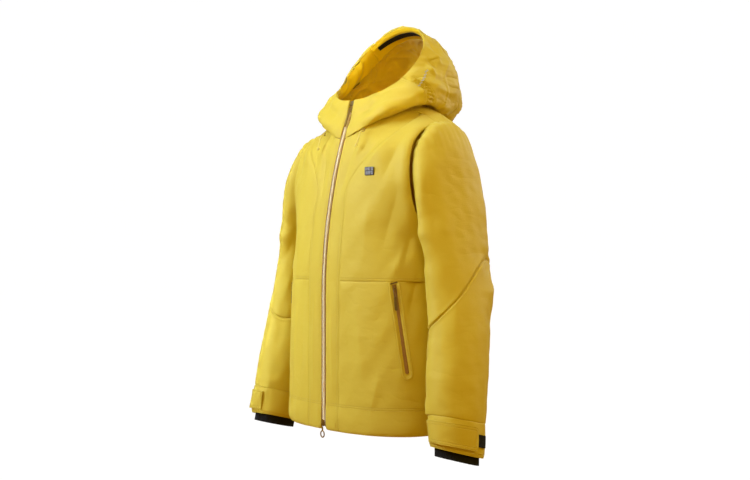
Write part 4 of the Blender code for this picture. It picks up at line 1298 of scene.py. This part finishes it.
def front_zip():
    for name, sign in SIGNS:
        keep(zip_teeth(f"main_zip_teeth_{name}", sign))
        tape = strip(f"main_zip_tape_{name}", 0.0020, 0.0200, ZIP_BOTTOM_Z, ZIP_TOP_Z, -0.0054, 0.0007,
                     TAPE, sign)
        keep(tape)
        piping = strip(f"main_zip_piping_{name}", 0.0054, ZIP_EDGE_X, ZIP_BOTTOM_Z, TEETH_TOP_Z + 0.012,
                       -0.0036, 0.0012, TAPE, sign, 0.0014)
        keep(piping, node=False)
    # The garage takes the dark pull colour as painted shade: it stands for the shadow inside the top of
    # the zip.
    garage = strip("zip_garage", -ZIP_EDGE_X, ZIP_EDGE_X, 0.0300, 0.0395, -0.0012, 0.0012, PULL,
                   bead=0.0010)
    keep(garage)
    top, bottom = slider_frame(TOP_SLIDER_Z), slider_frame(BOTTOM_SLIDER_Z)
    for name, place in (("top", top), ("bottom", bottom)):
        slider_body(f"main_zip_slider_{name}", place, 0.0058, 0.0070, -0.0008, -0.0001, (0.0034, 0.0034))
    top_pull("main_zip_pull_top", top)
    bottom_pull("main_zip_pull_bottom", bottom)


# ================= hand pockets =================
def hand_pockets():
    bag = sector(torso, *POCKET_BAG, 0.012)
    for name, mirror in SIDES:
        place = pocket_frame(mirror)
        keep(pocket_coil(f"pocket_zip_{name}", mirror))
        cloth(f"pocket_bag_{name}", "gold_lining", torso, bag, LINING, flat_relief, mirror=mirror,
              thick=THIN_CLOTH, lift=-0.0100)
        start = place @ Matrix.Translation((0, -0.007, COIL_LEVEL + 0.0006))
        slider_body(f"pocket_slider_{name}", start, 0.0032, 0.0052, 0.0012, 0.0020, (0.0026, 0.0024))
        bar = rounded(rectangle(0, 0.0001, 0.0075, 0.0011), 0.0005, 2)
        bar_place = place @ Matrix.Translation((0, 0.0035, COIL_LEVEL)) @ turned_by(-8 if mirror else 8)
        keep(plate(f"pocket_bar_{name}", bar, 0.0004, 0.0016, bar_place, PULL), node=False)
        pocket_pull(f"pocket_pull_{name}", start @ turned_by(4 if mirror else -4))


def turned_by(degrees):
    return Matrix.Rotation(math.radians(degrees), 4, "Z")


def pocket_coil(name, mirror):
    """Coated coil: a low dome with a fine centre groove and a rounded lower end."""
    top, bottom = np.array(POCKET_TOP), np.array(POCKET_BOTTOM)
    t = np.linspace(0, 1, 90)
    path = top + (bottom - top) * t[:, None]
    middle = torso(path[:, 0], path[:, 1])
    normal = surface_normal(torso, path[:, 0], path[:, 1])
    along = np.gradient(middle, axis=0)
    along /= np.linalg.norm(along, axis=1, keepdims=True)
    across = np.cross(normal, along)
    share = np.linspace(-1, 1, 13)
    run = np.linalg.norm(middle - middle[-1], axis=1)
    end = np.clip(run / COIL_HALF, 0.04, 1)
    half = COIL_HALF * np.sqrt(np.clip(1 - (1 - end) ** 2, 0.02, 1))
    dome = 0.0011 * (1 - share ** 2) - 0.0004 * bell(share, 0.14)
    flat = middle[:, None] + across[:, None] * (half[:, None] * share)[..., None]
    level = COIL_LEVEL - COIL_BULGE * np.sin(math.pi * t)[:, None]
    outer = flat + normal[:, None] * (level + dome)[..., None]
    inner = flat + normal[:, None] * (level - 0.0016 + 0 * dome)[..., None]
    return slab(name, outer, inner, COIL, mirror)


def pocket_pull(name, place):
    """Cord loop through the slider and a moulded grip."""
    height = 0.0030
    loop = wire("loop", ring_points(place, 0.0026, 0.0105, -0.0100, height), 0.0008, PULL, True)
    outline = rounded(both_sides([(0.0026, -0.0475), (0.0032, -0.0440), (0.0029, -0.0195)]), 0.0016, 4)
    grip = plate("grip", outline, height - 0.0007, height + 0.0011, place, PULL)
    keep(join(name, [loop, grip], PULL), name)


# ================= cords and trims =================
CORD_ROUTE = ((0.0665, -0.1010, -0.0330), (0.0668, -0.1060, -0.0350), (0.0672, -0.1100, -0.0400),
              (0.0672, -0.1135, -0.0480), (0.0668, -0.1165, -0.0580), (0.0660, -0.1190, -0.0680))
CORD_DIAMETER = 0.0025
EYELET_PLACE = (0.0665, -0.0990, -0.0330)
HEM_LOCK_PLACE = (0.194, -0.030, -0.6680)


def cord_knot(name, end, direction):
    """Overhand knot: a short fat spiral round the cord's end, with a cut tip."""
    along = np.array(direction) / np.linalg.norm(direction)
    side = np.cross(along, (1.0, 0, 0))
    side /= np.linalg.norm(side)
    other = np.cross(along, side)
    turns = np.linspace(0, 2 * math.pi * 2.25, 40)
    points = [end + along * (-0.0035 + 0.0052 * k / 39)
              + 0.0019 * (side * math.cos(a) + other * math.sin(a)) for k, a in enumerate(turns)]
    return wire(name, points, 0.00115, CORD)


def drawcords():
    for name, sign in SIGNS:
        flip = np.array((sign, 1, 1))
        route = np.array(CORD_ROUTE) * flip
        points = keyed([(k, *p) for k, p in enumerate(route)], np.linspace(0, len(route) - 1, 31))
        cord = new_curve(f"hood_drawcord_{name}", "3D", CORD_DIAMETER / 2, 4, [points], False)
        cord.data.use_fill_caps = True
        cord.data.materials.append(CORD)
        knot = cord_knot(f"hood_cord_knot_{name}", points[-1], points[-1] - points[-3])
        keep(cord)
        keep(knot, node=False)
        place = local_frame(np.array(EYELET_PLACE) * flip, (0, 0.33, 0.94), (0.25 * sign, -0.85, 0.30))
        ring = ring_points(place, 0.0034, 0.0034, 0, 0.0001)
        keep(wire(f"hood_eyelet_{name}", ring, 0.0008, GOLD, True))


def hanger_loop():
    """Strip that droops between two points of the back neck seam."""
    u = np.repeat(np.linspace(0, math.pi, 41)[None], 9, 0)
    v = np.repeat(np.linspace(0.046, 0.054, 9)[:, None], 41, 1)

    def loop(a, y):
        return np.stack([0.028 * np.cos(a), y + 0 * a, 0.018 - 0.020 * np.sin(a)], -1)
    cloth("hanger_loop", "gold_lining", loop, (u, v), FACING, flat_relief, stitched="bottom top",
          thick=THIN_CLOTH, lift=0.0012, crown=NO_CROWN)


def turned(name, profile, place, body="root"):
    """Turned black piece from (radius, height) points; it ends on its own axis."""
    verts, faces = [], []
    count = 32
    angles = np.linspace(0, 2 * math.pi, count, endpoint=False)
    for radius, height in profile:
        verts += [place @ Vector((radius * math.cos(a), radius * math.sin(a), height)) for a in angles]
    for k in range(0, (len(profile) - 1) * count, count):
        for j in range(count):
            i = (j + 1) % count
            faces.append([k + j, k + i, k + count + i, k + count + j])
    last = (len(profile) - 1) * count
    faces += [list(range(count))[::-1], [last + j for j in range(count)]]
    keep(mesh_object(name, verts, faces, BLACK, 40), body)


def hem_locks():
    """Sprung cord locks inside the hem at both side seams."""
    barrel = [(0.0048, 0.0146), (0.0048, 0.0004), (0.0052, 0.0), (0.0060, 0.0), (0.0065, 0.0008),
              (0.0063, 0.0070), (0.0065, 0.0130), (0.0061, 0.0160), (0.0045, 0.0170)]
    button = [(0.0034, -0.0040), (0.0041, -0.0034), (0.0042, 0.0), (0.0042, 0.0078), (0.0036, 0.0080)]
    for name, sign in SIGNS:
        place = Matrix.Translation(Vector(HEM_LOCK_PLACE) * Vector((sign, 1, 1)))
        turned(f"hem_cord_lock_{name}", barrel, place)
        turned(f"hem_lock_button_{name}", button, place, f"hem_lock_button_{name}")


def chest_badge():
    """Generic raised badge: a small plate with two rows of plain facets."""
    centre = np.array(BADGE_PLACE)
    place = local_frame(torso(*centre), (0, 0, 1), surface_normal(torso, *centre))
    parts = []
    for row in (-1, 1):
        for column in (-1, 0, 1):
            facet = rounded(rectangle(column * 0.0076, row * 0.0044, 0.0029, 0.0032), 0.0010, 3)
            top = 0.0046 if (row + column) % 2 else 0.0042
            parts.append(plate("facet", facet, 0.0030, top, place, BADGE, bevel=0.0005))
    base = rounded(rectangle(0, 0, 0.0118, 0.0088), 0.002, 4)
    keep(plate("chest_badge_base", base, 0.0020, 0.0034, place, BLACK), node=False)
    keep(join("chest_badge", parts, BADGE))


def hood_print():
    """Row of plain reflective dashes beside the hood's rim."""
    verts, faces = [], []
    for k in range(6):
        low, high = 0.600 + 0.034 * k, 0.622 + 0.034 * k
        angle, width = math.radians(77 + 2.6 * k), math.radians(1.5)
        u, v = np.meshgrid([angle - width, angle + width], [low, high])
        points, normal = hood(u, v), surface_normal(hood, u, v)
        relief = hood_relief(points, 0, normal) + CROWN[0]
        faces += (grid_faces(2, 2, False) + len(verts)).tolist()
        for level in (0.0006, -0.0004):
            verts += (points + normal * (relief + level)[..., None]).reshape(-1, 3).tolist()
    keep(mesh_object("hood_dashes", verts, faces, PRINT, None), node=False)


# ================= studio =================
FLOOR_Z = -1.10
WALL_AWAY = 14.0
WARM_ROOM = (1.0, 0.56, 0.03, 1.0)
COOL_LAMP = (0.73, 1.0, 1.25)
WARM_LAMP = (1.0, 0.93, 0.25)
# name, place, size, power, colour, and for a narrow lamp its target and spread in degrees
LAMPS = (
    ("key", (-0.80, -1.85, 0.75), 0.8, 46, COOL_LAMP),
    ("side", (2.4, 0.6, 0.6), 0.8, 12, WARM_LAMP),
    ("camera_side", (2.0, -2.1, 1.3), 1.4, 7, WARM_LAMP),
    ("top", (0.3, -0.3, 2.6), 0.9, 32, COOL_LAMP),
    ("back", (0.6, 2.5, 0.8), 1.2, 20, COOL_LAMP),
    ("hood_side", (0.85, -0.70, 0.40), 0.4, 1.7, WARM_LAMP),
    ("hood_inside", (0.80, -0.76, -0.02), 0.2, 0.075, WARM_LAMP, (-0.06, -0.03, 0.115), 20),
    ("right_sleeve", (-0.55, -1.60, -0.30), 0.3, 0.40, COOL_LAMP, (-0.34, -0.05, -0.45), 30),
)


def studio():
    scene = bpy.context.scene
    camera = bpy.data.objects.new("camera", bpy.data.cameras.new("camera"))
    camera.data.sensor_width = SENSOR
    camera.data.lens = LENS
    camera.location = CAMERA_PLACE
    camera.rotation_euler = (math.pi / 2, 0, CAMERA_TURN)
    scene.collection.objects.link(camera)
    scene.camera = camera
    white = dress(new_material("studio_white")[0], Base_Color=(0.02, 0.02, 0.02), Roughness=1.0,
                  Emission_Color=(1.0, 1.0, 1.0), Emission_Strength=1.0)
    backdrop("floor", (0, 0, FLOOR_Z), (0, 0, 0), white)
    for quarter in range(4):
        turn = quarter * math.pi / 2
        place = (WALL_AWAY * math.sin(turn), -WALL_AWAY * math.cos(turn), 0)
        backdrop(f"wall_{quarter}", place, (math.pi / 2, 0, turn), white)
    scene.world = bpy.data.worlds.new("studio")
    scene.world.use_nodes = True
    sky = scene.world.node_tree.nodes["Background"].inputs
    sky["Color"].default_value = WARM_ROOM
    sky["Strength"].default_value = 0.42
    scene.view_settings.view_transform = "Standard"
    for lamp in LAMPS:
        add_light(*lamp)


def backdrop(name, place, turn, material):
    """White sheet that only the camera sees, so that it doesn't light the jacket."""
    bpy.ops.mesh.primitive_plane_add(size=2.2 * WALL_AWAY, location=place, rotation=turn)
    made = bpy.context.object
    made.name = name
    made.data.materials.append(material)
    made.visible_diffuse = False
    made.visible_glossy = False
    made.visible_shadow = False


def add_light(name, place, size, power, colour, target=(0, 0, -0.25), spread=180):
    """Area lamp aimed at a target; its spread is in degrees."""
    data = bpy.data.lights.new(name, "AREA")
    data.size = size
    data.energy = power
    data.color = colour
    data.spread = math.radians(spread)
    made = bpy.data.objects.new(name, data)
    made.location = place
    made.visible_camera = False
    made.rotation_euler = (Vector(target) - Vector(place)).to_track_quat("-Z", "Y").to_euler()
    bpy.context.scene.collection.objects.link(made)


studio()
drawcords()
torso_panels()
linings()
sleeve_panels()
hood_panels()
front_zip()
hand_pockets()
hanger_loop()
hem_locks()
chest_badge()
hood_print()
